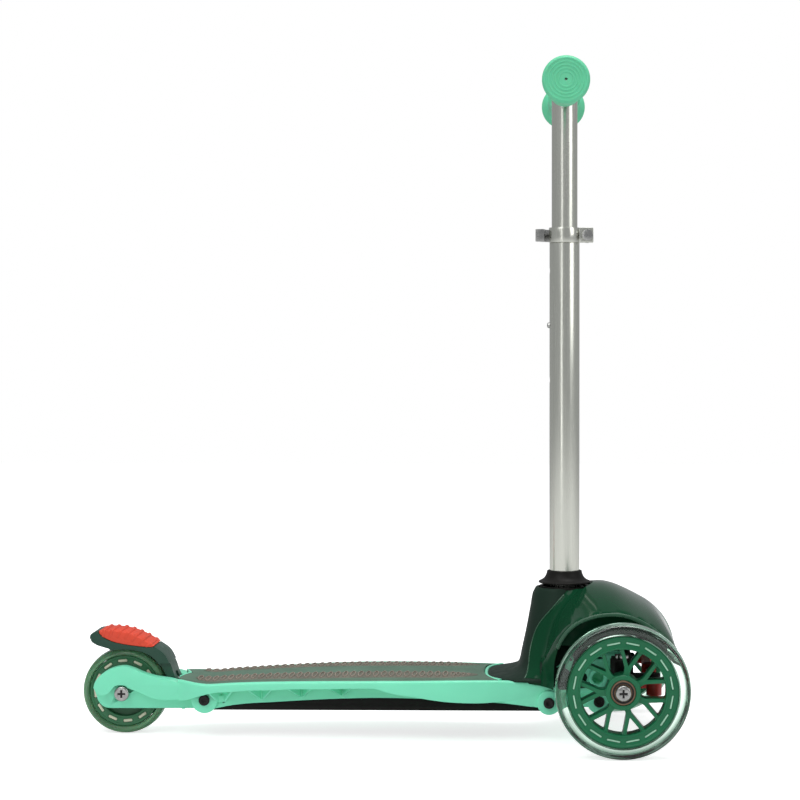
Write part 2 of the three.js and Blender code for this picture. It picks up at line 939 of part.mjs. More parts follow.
// V ribs between the rail and the flange, as a zigzag in plan
function deckRibs() {
  const pieces = [];
  const half = ribs.pitch / 2;
  for (let i = 0; i < ribs.count * 2; i += 1) {
    const from = deck.rear + ribs.inset + i * half;
    const at = deckAt(from + half / 2);
    const inner = deck.railY + deck.railWall / 2;
    const outer = deckAt(from).half - deck.skirt / 2;
    const nextOuter = deckAt(from + half).half - deck.skirt / 2;
    const a = i % 2 ? [from, outer] : [from, inner];
    const b = i % 2 ? [from + half, inner] : [from + half, nextOuter];
    const top = at.rim - deck.recess - deck.plate / 2;
    pieces.push(wallZ(a, b, deck.ribWall, at.rail + deck.ribWall, top));
  }
  return join(pieces);
}

function forkPoints(shares) {
  return shares.map(([along, height]) => [fork.tip + along * fork.length, height * fork.height]);
}

function forkArm() {
  const top = forkPoints(forkTopShares);
  const web = slabY([...forkPoints(forkWebShares), ...top], fork.inner, webOuter);
  const lower = forkPoints(forkBandShares);
  let band = slabY([...top, ...lower], webOuter - fit, webOuter + fork.band);
  const axleAt = (y) => [rearWheel.x, y, rearWheel.radius];
  band = band.subtract(
    bar(fork.hook, axleAt(webOuter), axleAt(webOuter + fork.band + overrun), sides.medium)
  );
  const boss = bar(spacer.outer / 2, axleAt(hub.width / 2 + fit), axleAt(fork.inner + fit), sides.small);
  const bore = bar(axle.shank / 2 + fit, axleAt(0), axleAt(webOuter + overrun), sides.small);
  const pinAt = (y) => [brake.pinX, y, brake.pinZ];
  const pinBore = bar(brake.pin / 2 + fit, pinAt(0), pinAt(webOuter - fork.band), sides.small);
  return join([web, band, boss]).subtract(bore).subtract(pinBore).subtract(matRoom());
}

// The room the mat lies in, open upwards
function matRoom() {
  const places = [matRear - fit, ...deckPlaces.filter((x) => x > matRear && x < matFront)];
  const rings = places.map((x) => {
    const at = deckAt(x);
    return ringX(x, [
      [at.half - deck.lip, at.rim - deck.recess],
      [at.half - deck.lip, at.rim + deck.rimHeight],
    ]);
  });
  return loft(rings, flatX);
}

function rearLugs() {
  const at = (y) => [rearLug.x, y, rearLug.z];
  const outer = deck.railY + deck.railWall;
  const lug = bar(rearLug.radius, at(deck.railY), at(outer + rearLug.depth), sides.medium);
  return lug;
}

function frontLug({ x, z, radius }) {
  const outer = deckAt(x).half;
  return bar(radius, [x, outer - deck.skirt, z], [x, outer + carrierLug.depth, z], sides.medium);
}

function screwBore(x, z, outer, length) {
  return bar(screw.shank / 2 + fit, [x, outer - length, z], [x, outer + overrun, z], sides.small);
}

const railOuter = deck.railY + deck.railWall;
const rearScrewSeat = railOuter + rearLug.depth;
const frontScrewSeat = deckAt(frontLugs[0].x).half + carrierLug.depth;
const carrierHalf = deckAt(frontLugs[0].x).half - deck.skirt;

function deckFrame() {
  const halves = [deckRail(), deckRibs(), forkArm(), rearLugs(), ...frontLugs.map(frontLug)];
  // The heel wall closes the deck in front of the rear wheel and ties the arms to the rails
  const heel = deckAt(fork.wallX);
  const heelTop = heel.rim - deck.recess - deck.plate / 2;
  const heelLow = fork.height * forkWebShares[1][1];
  const heelWall = block([fork.wallX, 0, heelLow], [fork.wallX + fork.wall, webOuter, heelTop]);
  const tieTop = deckAt(beamRear).rim - deck.recess - deck.plate / 2;
  const tieFront = rearLug.x - screw.head / 2 - 2 * fit;
  const tieWall = block([tieFront - fork.wall, 0, heelLow + deck.ribWall], [tieFront, railOuter, tieTop]);
  const half = join([...halves, heelWall, tieWall]);
  let whole = join([deckShell(), half, mirrored(half)]);
  const inside = carrierHalf + fit;
  whole = whole.subtract(
    block([openingRear, -inside, 0], [deck.rear + deck.length + overrun, inside, stem.top])
  );
  const bores = [screwBore(rearLug.x, rearLug.z, rearScrewSeat, screw.length)];
  for (const { x, z } of frontLugs) bores.push(screwBore(x, z, frontScrewSeat, screw.length));
  const cut = join(bores);
  whole = whole.subtract(cut).subtract(mirrored(cut));
  const line = tongueBand(mat.lineWidth).intersect(deckEnvelope(mat.lineHeight + deck.recess));
  whole = whole.add(line);
  const foot = brake.foot + 2 * fit;
  const notch = block(
    [deck.rear - overrun, -brake.footHalf - fit, brake.pinZ - foot],
    [brake.pinX + foot, brake.footHalf + fit, stem.top]
  );
  return whole.subtract(notch);
}

// A closed ring of a neck section: an oval whose squareness grows with power
function ovalPoints({ rear, front, half, power }, grow = 0) {
  const count = sides.oval;
  const points = [];
  const reach = (front - rear) / 2 + grow;
  for (let i = 0; i < count; i += 1) {
    const turn = (i / count) * Math.PI * 2;
    const c = Math.cos(turn);
    const s = Math.sin(turn);
    const x = (front + rear) / 2 + Math.sign(c) * Math.abs(c) ** (2 / power) * reach;
    const y = Math.sign(s) * Math.abs(s) ** (2 / power) * (half + grow);
    points.push([x, y]);
  }
  return points;
}

// Neck sections in real sizes
const neckSections = neckShares.map(([rise, rear, front, half, power]) => ({
  z: tongueZ + rise * (rise > 0 ? neckTop - tongueZ : neck.skirt),
  rear: steerX - rear * neck.rearReach,
  front: steerX + front * neck.frontReach,
  half: half * neck.halfWidth,
  power,
}));

const tongue = neckSections[tongueRow];

// The raised line on the deck between the mat and the cowl's tongue
function tongueBand(width) {
  const low = tongue.z - deck.recess - deck.plate;
  const high = tongue.z + deck.recess;
  const outer = slabZ(ovalPoints(tongue, width + fit), low, high);
  const inner = slabZ(ovalPoints(tongue, fit), low - overrun, high + overrun);
  const half = deckAt(matFront).half - deck.lip;
  const window = block([tongue.rear - width - overrun, -half, low], [matFront, half, high]);
  return outer.subtract(inner).intersect(window);
}

function deckMat() {
  const places = [matRear, ...deckPlaces.filter((x) => x > matRear && x < matFront), matFront];
  const rings = places.map((x) => {
    const at = deckAt(x);
    const half = at.half - deck.lip - fit;
    const bottom = at.rim - deck.recess + fit;
    return ringX(x, [
      [half, bottom],
      [half, at.rim],
      [half * 0.93, at.rim + mat.crown * 0.35],
      [half * 0.6, at.rim + mat.crown * 0.8],
      [half * 0.25, at.rim + mat.crown],
    ]);
  });
  const body = loft(rings, flatX);
  const low = deck.rimHeight - overrun - deck.plate;
  const high = deck.rimHeight + overrun;
  const front = slabZ(ovalPoints(tongue, mat.lineWidth + 2 * fit), low, high);
  const notch = slabZ(
    [
      [matRear - overrun, -mat.notchHalf],
      [matRear + mat.notchDepth, 0],
      [matRear - overrun, mat.notchHalf],
    ],
    low - overrun,
    high
  );
  return body.subtract(front).subtract(notch);
}

function underdeckBeam() {
  const { halfWidth, bottom, top, wall } = beam;
  const room = block(
    [beamRear - overrun, -halfWidth + wall, bottom + wall],
    [openingRear + overrun, halfWidth - wall, top + overrun]
  );
  const channel = block([beamRear, -halfWidth, bottom], [openingRear, halfWidth, top]).subtract(room);
  const lip = block(
    [openingRear - overrun, -halfWidth, bottom],
    [openingRear + beam.tongueLength, halfWidth, bottom + wall]
  );
  const boss = bar(
    screw.head / 2 + fit,
    [rearLug.x, halfWidth - 2 * wall, rearLug.z],
    [rearLug.x, halfWidth - wall / 2, rearLug.z],
    sides.small
  );
  const cut = screwBore(rearLug.x, rearLug.z, rearScrewSeat, screw.length);
  const behind = block([beamRear - screw.head, -halfWidth, bottom], [beamRear, halfWidth, top]);
  return join([channel, lip, boss, mirrored(boss)]).subtract(cut).subtract(mirrored(cut)).subtract(behind);
}

place("deck_frame", deckFrame(), mint);
place("deck_mat", deckMat(), matGrey);
place("underdeck_beam", underdeckBeam(), black);

function addScrews(name, x, z, seat) {
  for (const [label, side] of [
    ["left", 1],
    ["right", -1],
  ]) {
    const made = boltY(screw.head, screw.headHeight, screw.shank, screw.length - fit, sides.tiny);
    const mesh = place(`${name}_${label}`, made, black);
    mesh.position.set(x, side * (seat + fit), z);
    if (side < 0) mesh.rotation.z = Math.PI;
  }
}

addScrews("beam_screw", rearLug.x, rearLug.z, rearScrewSeat);
addScrews("carrier_rear_screw", frontLugs[0].x, frontLugs[0].z, frontScrewSeat);
addScrews("carrier_front_screw", frontLugs[1].x, frontLugs[1].z, frontScrewSeat);

// Brake

function aboutRearAxle(shares) {
  return shares.map(([x, z]) => [rearWheel.x + x * rearWheel.radius, rearWheel.radius * (1 + z)]);
}

function brakeOutline() {
  const points = aboutRearAxle(brakeOuterShares);
  const inner = rearWheel.radius + brake.gap;
  for (const degrees of [100, 88, 76, 64, 52, 40, 28, 18, 10]) {
    const turn = THREE.MathUtils.degToRad(degrees);
    points.push([rearWheel.x + inner * Math.cos(turn), rearWheel.radius + inner * Math.sin(turn)]);
  }
  for (const degrees of [225, 255, 285, 315, 345]) {
    const turn = THREE.MathUtils.degToRad(degrees);
    points.push([brake.pinX + brake.foot * Math.cos(turn), brake.pinZ + brake.foot * Math.sin(turn)]);
  }
  return points;
}

function padOutline() {
  return aboutRearAxle([...padShares, ...padTopShares]);
}

function brakeFender() {
  const body = slabY(brakeOutline(), -brake.halfWidth, brake.halfWidth);
  const high = rearWheel.radius * 3;
  const bed = aboutRearAxle(padShares).map(([x, z]) => [x, z - fit]);
  const [rearX, rearZ] = bed[0];
  const [frontX, frontZ] = bed[bed.length - 1];
  const lifted = [
    [rearX - fit, high],
    [rearX - fit, rearZ],
    ...bed,
    [frontX + fit, frontZ],
    [frontX + fit, high],
  ];
  const side = (low, top) => block([-fork.length * 3, low, 0], [deck.rear + overrun, top, brake.footTop]);
  const springSlot = block(
    [brake.pinX - brake.foot - overrun, -brakeSpring.slotHalf, brake.pinZ - brake.foot - overrun],
    [brake.pinX + brake.foot + overrun, brakeSpring.slotHalf, brake.pinZ + brake.foot + overrun]
  );
  const bore = bar(
    brake.pin / 2 + fit,
    [brake.pinX, -brake.halfWidth, brake.pinZ],
    [brake.pinX, brake.halfWidth, brake.pinZ],
    sides.small
  );
  return body
    .subtract(slabY(lifted, -brake.halfWidth - overrun, brake.halfWidth + overrun))
    .subtract(side(brake.footHalf, brake.halfWidth + overrun))
    .subtract(side(-brake.halfWidth - overrun, -brake.footHalf))
    .subtract(springSlot)
    .subtract(bore);
}

function brakePad() {
  const half = brake.halfWidth - fit;
  const body = slabY(padOutline(), -half, half);
  const topLine = new THREE.SplineCurve(
    aboutRearAxle(padTopShares).map(([x, z]) => new THREE.Vector2(x, z))
  );
  const ridges = [];
  for (let i = 0; i < padRidges.count; i += 1) {
    const at = topLine.getPointAt((i + 0.6) / (padRidges.count + 0.2));
    ridges.push(
      bar(padRidges.width / 2, [at.x, -half, at.y], [at.x, half, at.y], sides.tiny)
    );
  }
  return join([body, ...ridges]);
}

place("brake_fender", brakeFender(), darkGreen);
place("brake_pad", brakePad(), orangeRubber);
{
  const reach = webOuter - fork.band - fit;
  const from = [brake.pinX, -reach, brake.pinZ];
  place("brake_pivot_pin", bar(brake.pin / 2, from, [brake.pinX, reach, brake.pinZ], sides.small), zinc);
}
place(
  "brake_return_spring",
  coilY([brake.pinX, 0, brake.pinZ], brakeSpring.radius, brakeSpring.wire, brakeSpring.turns, brake.foot),
  steel
);

// Steering tubes and handlebar, all about the steering axis

const axisZ = (radius, low, high, count) => bar(radius, [steerX, 0, low], [steerX, 0, high], count);

function outerSteeringTube() {
  const { radius, wall, bottom, shoulder, top, neckRadius, slit, slitDepth } = outerTube;
  let tube = turnedZ(
    [
      [radius - wall, bottom],
      [radius, bottom],
      [radius, shoulder],
      [neckRadius, shoulder],
      [neckRadius, top],
      [radius - wall, top],
    ],
    steerX,
    0,
    sides.tube
  );
  tube = tube.subtract(
    block([steerX, -slit / 2, top - slitDepth], [steerX + radius + overrun, slit / 2, top + overrun])
  );
  for (const step of detents.steps) {
    const z = detents.z + step * detents.pitch;
    tube = tube.subtract(
      bar(detents.radius, [steerX - radius - overrun, 0, z], [steerX - radius / 2, 0, z], sides.small)
    );
  }
  return tube;
}

function innerSteeringTube() {
  const { radius, wall, bottom } = innerTube;
  const tube = turnedZ(
    [
      [radius - wall, bottom],
      [radius, bottom],
      [radius, handlebar.z],
      [radius - wall, handlebar.z],
    ],
    steerX,
    0,
    sides.tube
  );
  const saddle = bar(
    handlebar.radius + fit,
    [steerX, -radius * 2, handlebar.z],
    [steerX, radius * 2, handlebar.z],
    sides.tube
  );
  const hole = bar(
    detents.radius,
    [steerX - radius - overrun, 0, detents.z],
    [steerX - radius / 2, 0, detents.z],
    sides.small
  );
  return tube.subtract(saddle).subtract(hole);
}

function steeringStem() {
  const ballPoints = [];
  for (const degrees of [-90, -60, -30, 0, 30, 55]) {
    const turn = THREE.MathUtils.degToRad(degrees);
    ballPoints.push([stem.ball * Math.cos(turn), steer.footZ + stem.ball * Math.sin(turn)]);
  }
  ballPoints[0][0] = 0;
  const body = turnedZ(
    [
      ...ballPoints,
      [stem.neckRadius, stem.neckTop],
      [stem.radius, stem.flare],
      [stem.radius, stem.top],
      [outerTube.radius + fit, stem.top],
      [outerTube.radius + fit, stem.socketFloor],
      [0, stem.socketFloor],
    ],
    steerX,
    0,
    sides.tube
  );
  const trunnion = bar(
    stem.trunnion,
    [steerX - stem.trunnionReach, 0, steer.pivotZ],
    [steerX + stem.trunnionReach, 0, steer.pivotZ],
    sides.medium
  );
  const socket = axisZ(outerTube.radius + fit, stem.socketFloor, stem.top + overrun, sides.tube);
  return body.add(trunnion).subtract(socket);
}

const collarBottom = neckTop + collar.rise;

function collarRing() {
  const outline = collarShares.map(([r, h]) => [collar.radius * r, collarBottom + collar.height * h]);
  const bore = outerTube.radius + fit;
  return turnedZ(
    [[bore, collarBottom + collar.height], ...outline, [bore, collarBottom + collar.height / 6]],
    steerX,
    0,
    sides.tube
  );
}

function handlebarGrip() {
  const bore = handlebar.radius + fit;
  const outline = [
    [bore, grip.inner],
    [grip.radius, grip.inner],
    [grip.radius, grip.flangeStart - grip.step],
    [grip.collar, grip.flangeStart],
    [grip.flange, grip.flangeStart + grip.step],
    [grip.flange, grip.end - grip.step],
    [grip.flange - grip.round, grip.end - grip.round / 2],
    [handlebar.radius, grip.end],
    [grip.hole, grip.end],
    [grip.hole, grip.seat],
    [bore, grip.seat],
  ];
  return turnedY(outline, sides.tube);
}

place("outer_steering_tube", outerSteeringTube(), aluminium);
place("inner_height_tube", innerSteeringTube(), aluminium);
place("steering_stem", steeringStem(), steel);
place("stem_collar", collarRing(), black);
{
  const from = [steerX, -handlebar.halfLength, handlebar.z];
  const crossbar = bar(handlebar.radius, from, [steerX, handlebar.halfLength, handlebar.z], sides.tube);
  place("crossbar", crossbar, aluminium);
}
for (const [label, side] of [
  ["left", 1],
  ["right", -1],
]) {
  const mesh = place(`${label}_grip`, handlebarGrip(), gripRubber);
  mesh.position.set(steerX, 0, handlebar.z);
  if (side < 0) mesh.rotation.z = Math.PI;
}

// Snap button and its leaf spring inside the inner tube
{
  const tip = steerX - outerTube.radius - snap.proud;
  const flangeAt = steerX - Math.sqrt((innerTube.radius - innerTube.wall) ** 2 - snap.flange ** 2) + fit;
  const pin = bar(snap.radius, [tip, 0, detents.z], [flangeAt, 0, detents.z], sides.small);
  const flange = bar(
    snap.flange,
    [flangeAt, 0, detents.z],
    [flangeAt + snap.flangeHeight, 0, detents.z],
    sides.small
  );
  place("snap_button", pin.add(flange), zinc);
  const near = flangeAt + snap.flangeHeight + fit;
  const far = steerX + innerTube.radius - innerTube.wall - snap.stripWidth / 4;
  const outline = [
    [near, detents.z + snap.flange],
    [near + snap.strip, detents.z + snap.flange],
    [(near + far) / 2 + snap.strip, detents.z - snap.drop + snap.strip],
    [far, detents.z + snap.flange],
    [far + snap.strip, detents.z + snap.flange],
    [(near + far) / 2 + snap.strip * 1.5, detents.z - snap.drop - snap.strip],
    [(near + far) / 2 - snap.strip / 2, detents.z - snap.drop - snap.strip],
  ];
  place("snap_spring", slabY(outline, -snap.stripWidth / 2, snap.stripWidth / 2), steel);
}

// Clamp band, its bolt, cam pin and lever

const clampTop = clamp.bottom + clamp.height;
const clampMiddle = clamp.bottom + clamp.height / 2;

function clampBand() {
  const inner = outerTube.neckRadius + fit;
  const outer = inner + clamp.wall;
  const ring = axisZ(outer, clamp.bottom, clampTop, sides.tube);
  const earRoot = steerX + inner;
  const ears = [-1, 1].map((side) => {
    const low = side > 0 ? clamp.earInner : -clamp.earOuter;
    const high = side > 0 ? clamp.earOuter : -clamp.earInner;
    return block([earRoot, low, clamp.bottom], [clamp.earX, high, clampTop]);
  });
  const bore = bar(
    clampBolt.shank / 2 + fit,
    [clamp.boltX, -clamp.earX, clampMiddle],
    [clamp.boltX, clamp.earX, clampMiddle],
    sides.small
  );
  const gap = block(
    [steerX, -clamp.earInner, clamp.bottom - overrun],
    [clamp.earX + overrun, clamp.earInner, clampTop + overrun]
  );
  return join([ring, ...ears]).subtract(
    axisZ(inner, clamp.bottom - overrun, clampTop + overrun, sides.tube)
  ).subtract(gap).subtract(bore);
}

function clampSkewer() {
  const seat = -clamp.earOuter - fit;
  const head = bar(
    clampBolt.head / 2,
    [clamp.boltX, seat - clampBolt.headHeight, clampMiddle],
    [clamp.boltX, seat, clampMiddle],
    sides.small
  );
  const shank = bar(
    clampBolt.shank / 2,
    [clamp.boltX, seat - fit, clampMiddle],
    [clamp.boltX, lever.pivotY, clampMiddle],
    sides.small
  );
  const low = clampMiddle - clampBolt.eyeHeight / 2;
  const high = clampMiddle + clampBolt.eyeHeight / 2;
  const eye = bar(
    clampBolt.eye,
    [clamp.boltX, lever.pivotY, low],
    [clamp.boltX, lever.pivotY, high],
    sides.small
  );
  const room = block(
    [clamp.boltX - clampBolt.eye, lever.pivotY - clampBolt.eye, high],
    [clamp.boltX + clampBolt.eye, lever.pivotY + clampBolt.eye, high + overrun]
  );
  const under = block(
    [clamp.boltX - clampBolt.eye, lever.pivotY - clampBolt.eye, low - overrun],
    [clamp.boltX + clampBolt.eye, lever.pivotY + clampBolt.eye, low]
  );
  const bore = bar(
    camPin / 2 + fit,
    [clamp.boltX, lever.pivotY, clamp.bottom],
    [clamp.boltX, lever.pivotY, clampTop],
    sides.small
  );
  return join([head, shank, eye]).subtract(room).subtract(under).subtract(bore);
}

// An outline of a ring's sector about the steering axis, between two angles in degrees
function sector(inner, outer, start, end) {
  const near = [];
  const far = [];
  const count = Math.max(1, Math.round((end - start) / leverDegrees.step));
  for (let i = 0; i <= count; i += 1) {
    const turn = THREE.MathUtils.degToRad(start + ((end - start) * i) / count);
    near.push([steerX + inner * Math.cos(turn), inner * Math.sin(turn)]);
    far.push([steerX + outer * Math.cos(turn), outer * Math.sin(turn)]);
  }
  return [...far, ...near.reverse()];
}

function clampLever() {
  const low = clamp.bottom + lever.inset;
  const high = clampTop - lever.inset;
  const arm = slabZ(sector(lever.inner, lever.outer, leverDegrees.start, leverDegrees.end), low, high);
  const tip = slabZ(
    sector(lever.tipInner, lever.tipOuter, leverDegrees.tipStart, leverDegrees.tipEnd),
    low,
    high
  );
  const discs = bar(
    lever.disc,
    [clamp.boltX, lever.pivotY, low],
    [clamp.boltX, lever.pivotY, high],
    sides.small
  );
  const slot = bar(
    lever.disc + fit,
    [clamp.boltX, lever.pivotY, clampMiddle - lever.slot / 2],
    [clamp.boltX, lever.pivotY, clampMiddle + lever.slot / 2],
    sides.medium
  );
  const bore = bar(
    camPin / 2 + fit,
    [clamp.boltX, lever.pivotY, low - overrun],
    [clamp.boltX, lever.pivotY, high + overrun],
    sides.small
  );
  return join([arm, tip, discs]).subtract(slot).subtract(bore);
}

place("clamp_band", clampBand(), aluminium);
place("clamp_bolt", clampSkewer(), zinc);
place(
  "clamp_cam_pin",
  bar(
    camPin / 2,
    [clamp.boltX, lever.pivotY, clamp.bottom],
    [clamp.boltX, lever.pivotY, clampTop],
    sides.small
  ),
  zinc
);
place("clamp_lever", clampLever(), zinc);

// Front axle: beam, kingpins, knuckles and tie rod

const kingX = frontWheel.x;
const beamBack = kingX + axleBeam.ahead;

function atKing(radius, low, high, count = sides.medium) {
  return bar(radius, [kingX, kingpin.y, low], [kingX, kingpin.y, high], count);
}

function axleBeamBody() {
  const b = axleBeam;
  const half = [
    block([beamBack, 0, b.upperLow], [beamBack + b.thickness, kingpin.y, b.upperTop]),
    block([kingX - knuckle.hub, b.webY, b.lowerLow], [kingX + knuckle.hub, b.webY + b.web, b.upperTop]),
    block([kingX - knuckle.hub, b.webY, b.upperLow], [kingX + knuckle.hub, kingpin.y, b.upperTop]),
    block([kingX - knuckle.hub, b.webY, b.lowerLow], [kingX + knuckle.hub, kingpin.y, b.lowerTop]),
    atKing(b.lug, b.upperLow, b.upperTop),
    atKing(b.lug, b.lowerLow, b.lowerTop),
  ];
  const bore = atKing(kingpin.radius + pivotFit, b.lowerLow - overrun, b.upperTop + overrun, sides.small);
  const boltHole = bar(
    beamBolt.shank / 2 + fit,
    [beamBack - overrun, cheekMiddle, beamBolt.z],
    [beamBack + b.thickness + overrun, cheekMiddle, beamBolt.z],
    sides.small
  );
  const made = join(half).subtract(bore).subtract(boltHole);
  return made.add(mirrored(made));
}

function kingpinBody() {
  const seat = axleBeam.upperTop + fit;
  return turnedZ(
    [
      [0, kingpin.bottom],
      [kingpin.radius, kingpin.bottom],
      [kingpin.radius, seat],
      [kingpin.head, seat],
      [kingpin.head, seat + kingpin.headHeight],
      [0, seat + kingpin.headHeight],
    ],
    kingX,
    kingpin.y,
    sides.small
  );
}

function knuckleBody() {
  const k = knuckle;
  const face = frontWheel.y - hub.width / 2 - fit;
  const axleAt = (y) => [kingX, y, frontWheel.radius];
  const armLow = k.top - k.armHeight;
  const armEnd = kingX + k.reach;
  const body = [
    atKing(k.hub, k.low, k.top),
    bar(k.boss, axleAt(kingpin.y), axleAt(face - k.endLength), sides.medium),
    bar(k.bossEnd, axleAt(kingpin.y), axleAt(face), sides.medium),
    block([kingX, kingpin.y - k.armWidth / 2, armLow], [armEnd, kingpin.y + k.armWidth / 2, k.top]),
    bar(k.end, [armEnd, kingpin.y, armLow], [armEnd, kingpin.y, k.top], sides.small),
    bar(k.pin, [armEnd, kingpin.y, k.pinLow], [armEnd, kingpin.y, k.top], sides.small),
  ];
  const bore = atKing(kingpin.radius + pivotFit, k.low - overrun, k.top + overrun, sides.small);
  const thread = bar(axle.shank / 2 + fit, axleAt(k.threadStart), axleAt(face + overrun), sides.small);
  return join(body).subtract(bore).subtract(thread);
}

function tieRod() {
  const x = kingX + knuckle.reach;
  const hole = knuckle.pin + tie.slack;
  const eyes = [-kingpin.y, 0, kingpin.y].map(
    (y) => bar(tie.eye, [x, y, tie.low], [x, y, tie.high - fit], sides.medium)
  );
  const rod = block([x - tie.bar / 2, -kingpin.y, tie.barLow], [x + tie.bar / 2, kingpin.y, tie.barHigh]);
  const holes = [-kingpin.y, 0, kingpin.y].map(
    (y) => bar(hole, [x, y, tie.low - overrun], [x, y, tie.high + overrun], sides.small)
  );
  return join([rod, ...eyes]).subtract(join(holes));
}

function rockerBody() {
  const r = rocker;
  const rear = steerX - r.forkBehind;
  const root = steerX + r.rootAhead;
  const front = kingX + knuckle.reach;
  const body = join([
    bar(r.hub, [r.x, 0, r.low], [r.x, 0, r.high], sides.medium),
    block([root, -r.arm / 2, r.low], [front, r.arm / 2, r.high]),
    bar(r.end, [front, 0, r.low], [front, 0, r.high], sides.small),
    bar(r.pin, [front, 0, r.low], [front, 0, r.pinTop], sides.small),
    block([rear, -r.forkOuter, r.low], [root, r.forkOuter, r.high]),
  ]);
  const slot = block(
    [rear - overrun, -r.forkInner, r.low - overrun],
    [steerX + r.slotAhead, r.forkInner, r.high + overrun]
  );
  const bore = bar(
    rockerPin.radius + pivotFit,
    [r.x, 0, r.low - overrun],
    [r.x, 0, r.high + overrun],
    sides.small
  );
  return body.subtract(slot).subtract(bore);
}

const cheekMiddle = carrierHalf - carrier.cheek / 2;
place("axle_beam", axleBeamBody(), black);
for (const [label, side] of [
  ["left", 1],
  ["right", -1],
]) {
  place(`kingpin_${label}`, onSide(kingpinBody(), side), zinc);
  place(`knuckle_${label}`, onSide(knuckleBody(), side), black);
  const x = beamBack + axleBeam.thickness + fit;
  const bolt = boltY(beamBolt.head, beamBolt.headHeight, beamBolt.shank, beamBolt.length, sides.small);
  const mesh = place(`axle_beam_bolt_${label}`, bolt, black);
  mesh.position.set(x, side * cheekMiddle, beamBolt.z);
  mesh.rotation.z = -Math.PI / 2;
}
place("tie_rod", tieRod(), redPlastic);
place("steering_rocker", rockerBody(), redPlastic);
{
  const seat = rocker.high + fit;
  const pin = turnedZ(
    [
      [0, rockerPin.bottom],
      [rockerPin.radius, rockerPin.bottom],
      [rockerPin.radius, seat],
      [rockerPin.head, seat],
      [rockerPin.head, seat + rockerPin.headHeight],
      [0, seat + rockerPin.headHeight],
    ],
    rocker.x,
    0,
    sides.small
  );
  place("rocker_pin", pin, zinc);
}

// Carrier and return rubbers

function frontCarrier() {
  const c = carrier;
  const height = c.top - c.floorLow;
  const outline = cheekShares.map(
    ([along, rise]) => [c.rear + along * (c.front - c.rear), c.floorLow + rise * height]
  );
  const bossAt = (y) => [cheekBoss.x, y, cheekBoss.z];
  const beamBoss = bar(
    beamBolt.boss,
    [beamBack - fit - beamBolt.length, cheekMiddle, beamBolt.z],
    [c.front, cheekMiddle, beamBolt.z],
    sides.medium
  );
  const screwBosses = frontLugs.map(({ x, z }) =>
    bar(
      screw.head / 2 + 1.5 * fit,
      [x, carrierHalf - screw.length, z],
      [x, carrierHalf - fit, z],
      sides.small
    )
  );
  const rubberWallBlock = block(
    [steerX - rubberWall.halfLength, rubber.outer + fit, c.floorHigh - fit],
    [steerX + rubberWall.halfLength, rubber.outer + fit + rubberWall.thickness, rubberWall.top]
  );
  const rubberTie = block(
    [steerX - rubberWall.thickness / 2, rubber.outer + fit, c.floorHigh - fit],
    [steerX + rubberWall.thickness / 2, carrierHalf - c.cheek + fit, rubber.low]
  );
  const half = join([
    slabY(outline, carrierHalf - c.cheek, carrierHalf),
    bar(
      cheekBoss.radius,
      bossAt(carrierHalf - c.cheek),
      bossAt(carrierHalf + cheekBoss.reach),
      sides.medium
    ),
    beamBoss,
    ...screwBosses,
    rubberWallBlock,
    rubberTie,
    block([c.rear, -fit, c.floorLow], [kingX, carrierHalf - fit, c.floorHigh]),
    block([c.bridge, -fit, c.bridgeLow], [c.bridge + c.bridgeWall, carrierHalf - fit, c.top]),
    block([c.bridge, -fit, c.top - fit], [c.bridge + c.towerWall, c.towerHalf, c.towerTop]),
    block([c.towerRear, -fit, c.floorLow], [c.towerRear + c.towerWall, c.towerHalf * 2, c.floorHigh * 2]),
    block([c.towerRear, -fit, c.floorLow], [c.towerRear + c.towerWall, c.towerHalf, c.towerTop]),
  ]);
  const cuts = [
    bar(cheekBoss.bore, bossAt(carrierHalf), bossAt(carrierHalf + cheekBoss.reach + overrun), sides.small),
    bar(
      beamBolt.shank / 2 + fit,
      [c.rear + c.floorLow, cheekMiddle, beamBolt.z],
      [c.front + overrun, cheekMiddle, beamBolt.z],
      sides.small
    ),
    ...frontLugs.map(({ x, z }) => screwBore(x, z, frontScrewSeat, screw.length)),
  ];
  const cut = join(cuts);
  const trunnionBore = bar(
    stem.trunnion + pivotFit,
    [steerX - stem.trunnionReach - fit, 0, steer.pivotZ],
    [steerX + stem.trunnionReach + fit, 0, steer.pivotZ],
    sides.medium
  );
  const pinBore = bar(
    rockerPin.radius + fit,
    [rocker.x, 0, c.floorLow - overrun],
    [rocker.x, 0, c.floorHigh + overrun],
    sides.small
  );
  return join(
    [half, mirrored(half)]
  ).subtract(cut).subtract(mirrored(cut)).subtract(trunnionBore).subtract(pinBore);
}

function returnRubber() {
  const body = block(
    [steerX - rubber.halfLength, 0, rubber.low],
    [steerX + rubber.halfLength, rubber.outer, rubber.high]
  );
  return body.subtract(axisZ(rubber.inner, rubber.low - overrun, rubber.high + overrun, sides.tube));
}

place("front_carrier", frontCarrier(), mint);
place("return_rubber_left", onSide(returnRubber(), 1), rubberBlack);
place("return_rubber_right", onSide(returnRubber(), -1), rubberBlack);

// Cowl

function neckSolid(grow, top) {
  const sections = grow ? neckSections.filter(
    ({ z }) => z > tongue.z || z < tongue.z - deck.recess
  ) : neckSections;
  const rings = sections.map((section, i) => {
    const z = i === 0 ? section.z + top : section.z;
    return ovalPoints(section, grow).map(([x, y]) => new THREE.Vector3(x, y, z));
  });
  return loft(rings, flatZ);
}

// Height of the hood's side at a place in X: the wheel arch's outer edge, but never above the ridge
function hoodEdge(x, ridge) {
  const radius = frontWheel.radius + cowl.archGap + cowl.lip;
  const across = x - frontWheel.x;
  const rise = Math.sqrt(Math.max(radius * radius - across * across, 0));
  return Math.min(frontWheel.radius + rise, ridge - cowl.lip / 2);
}

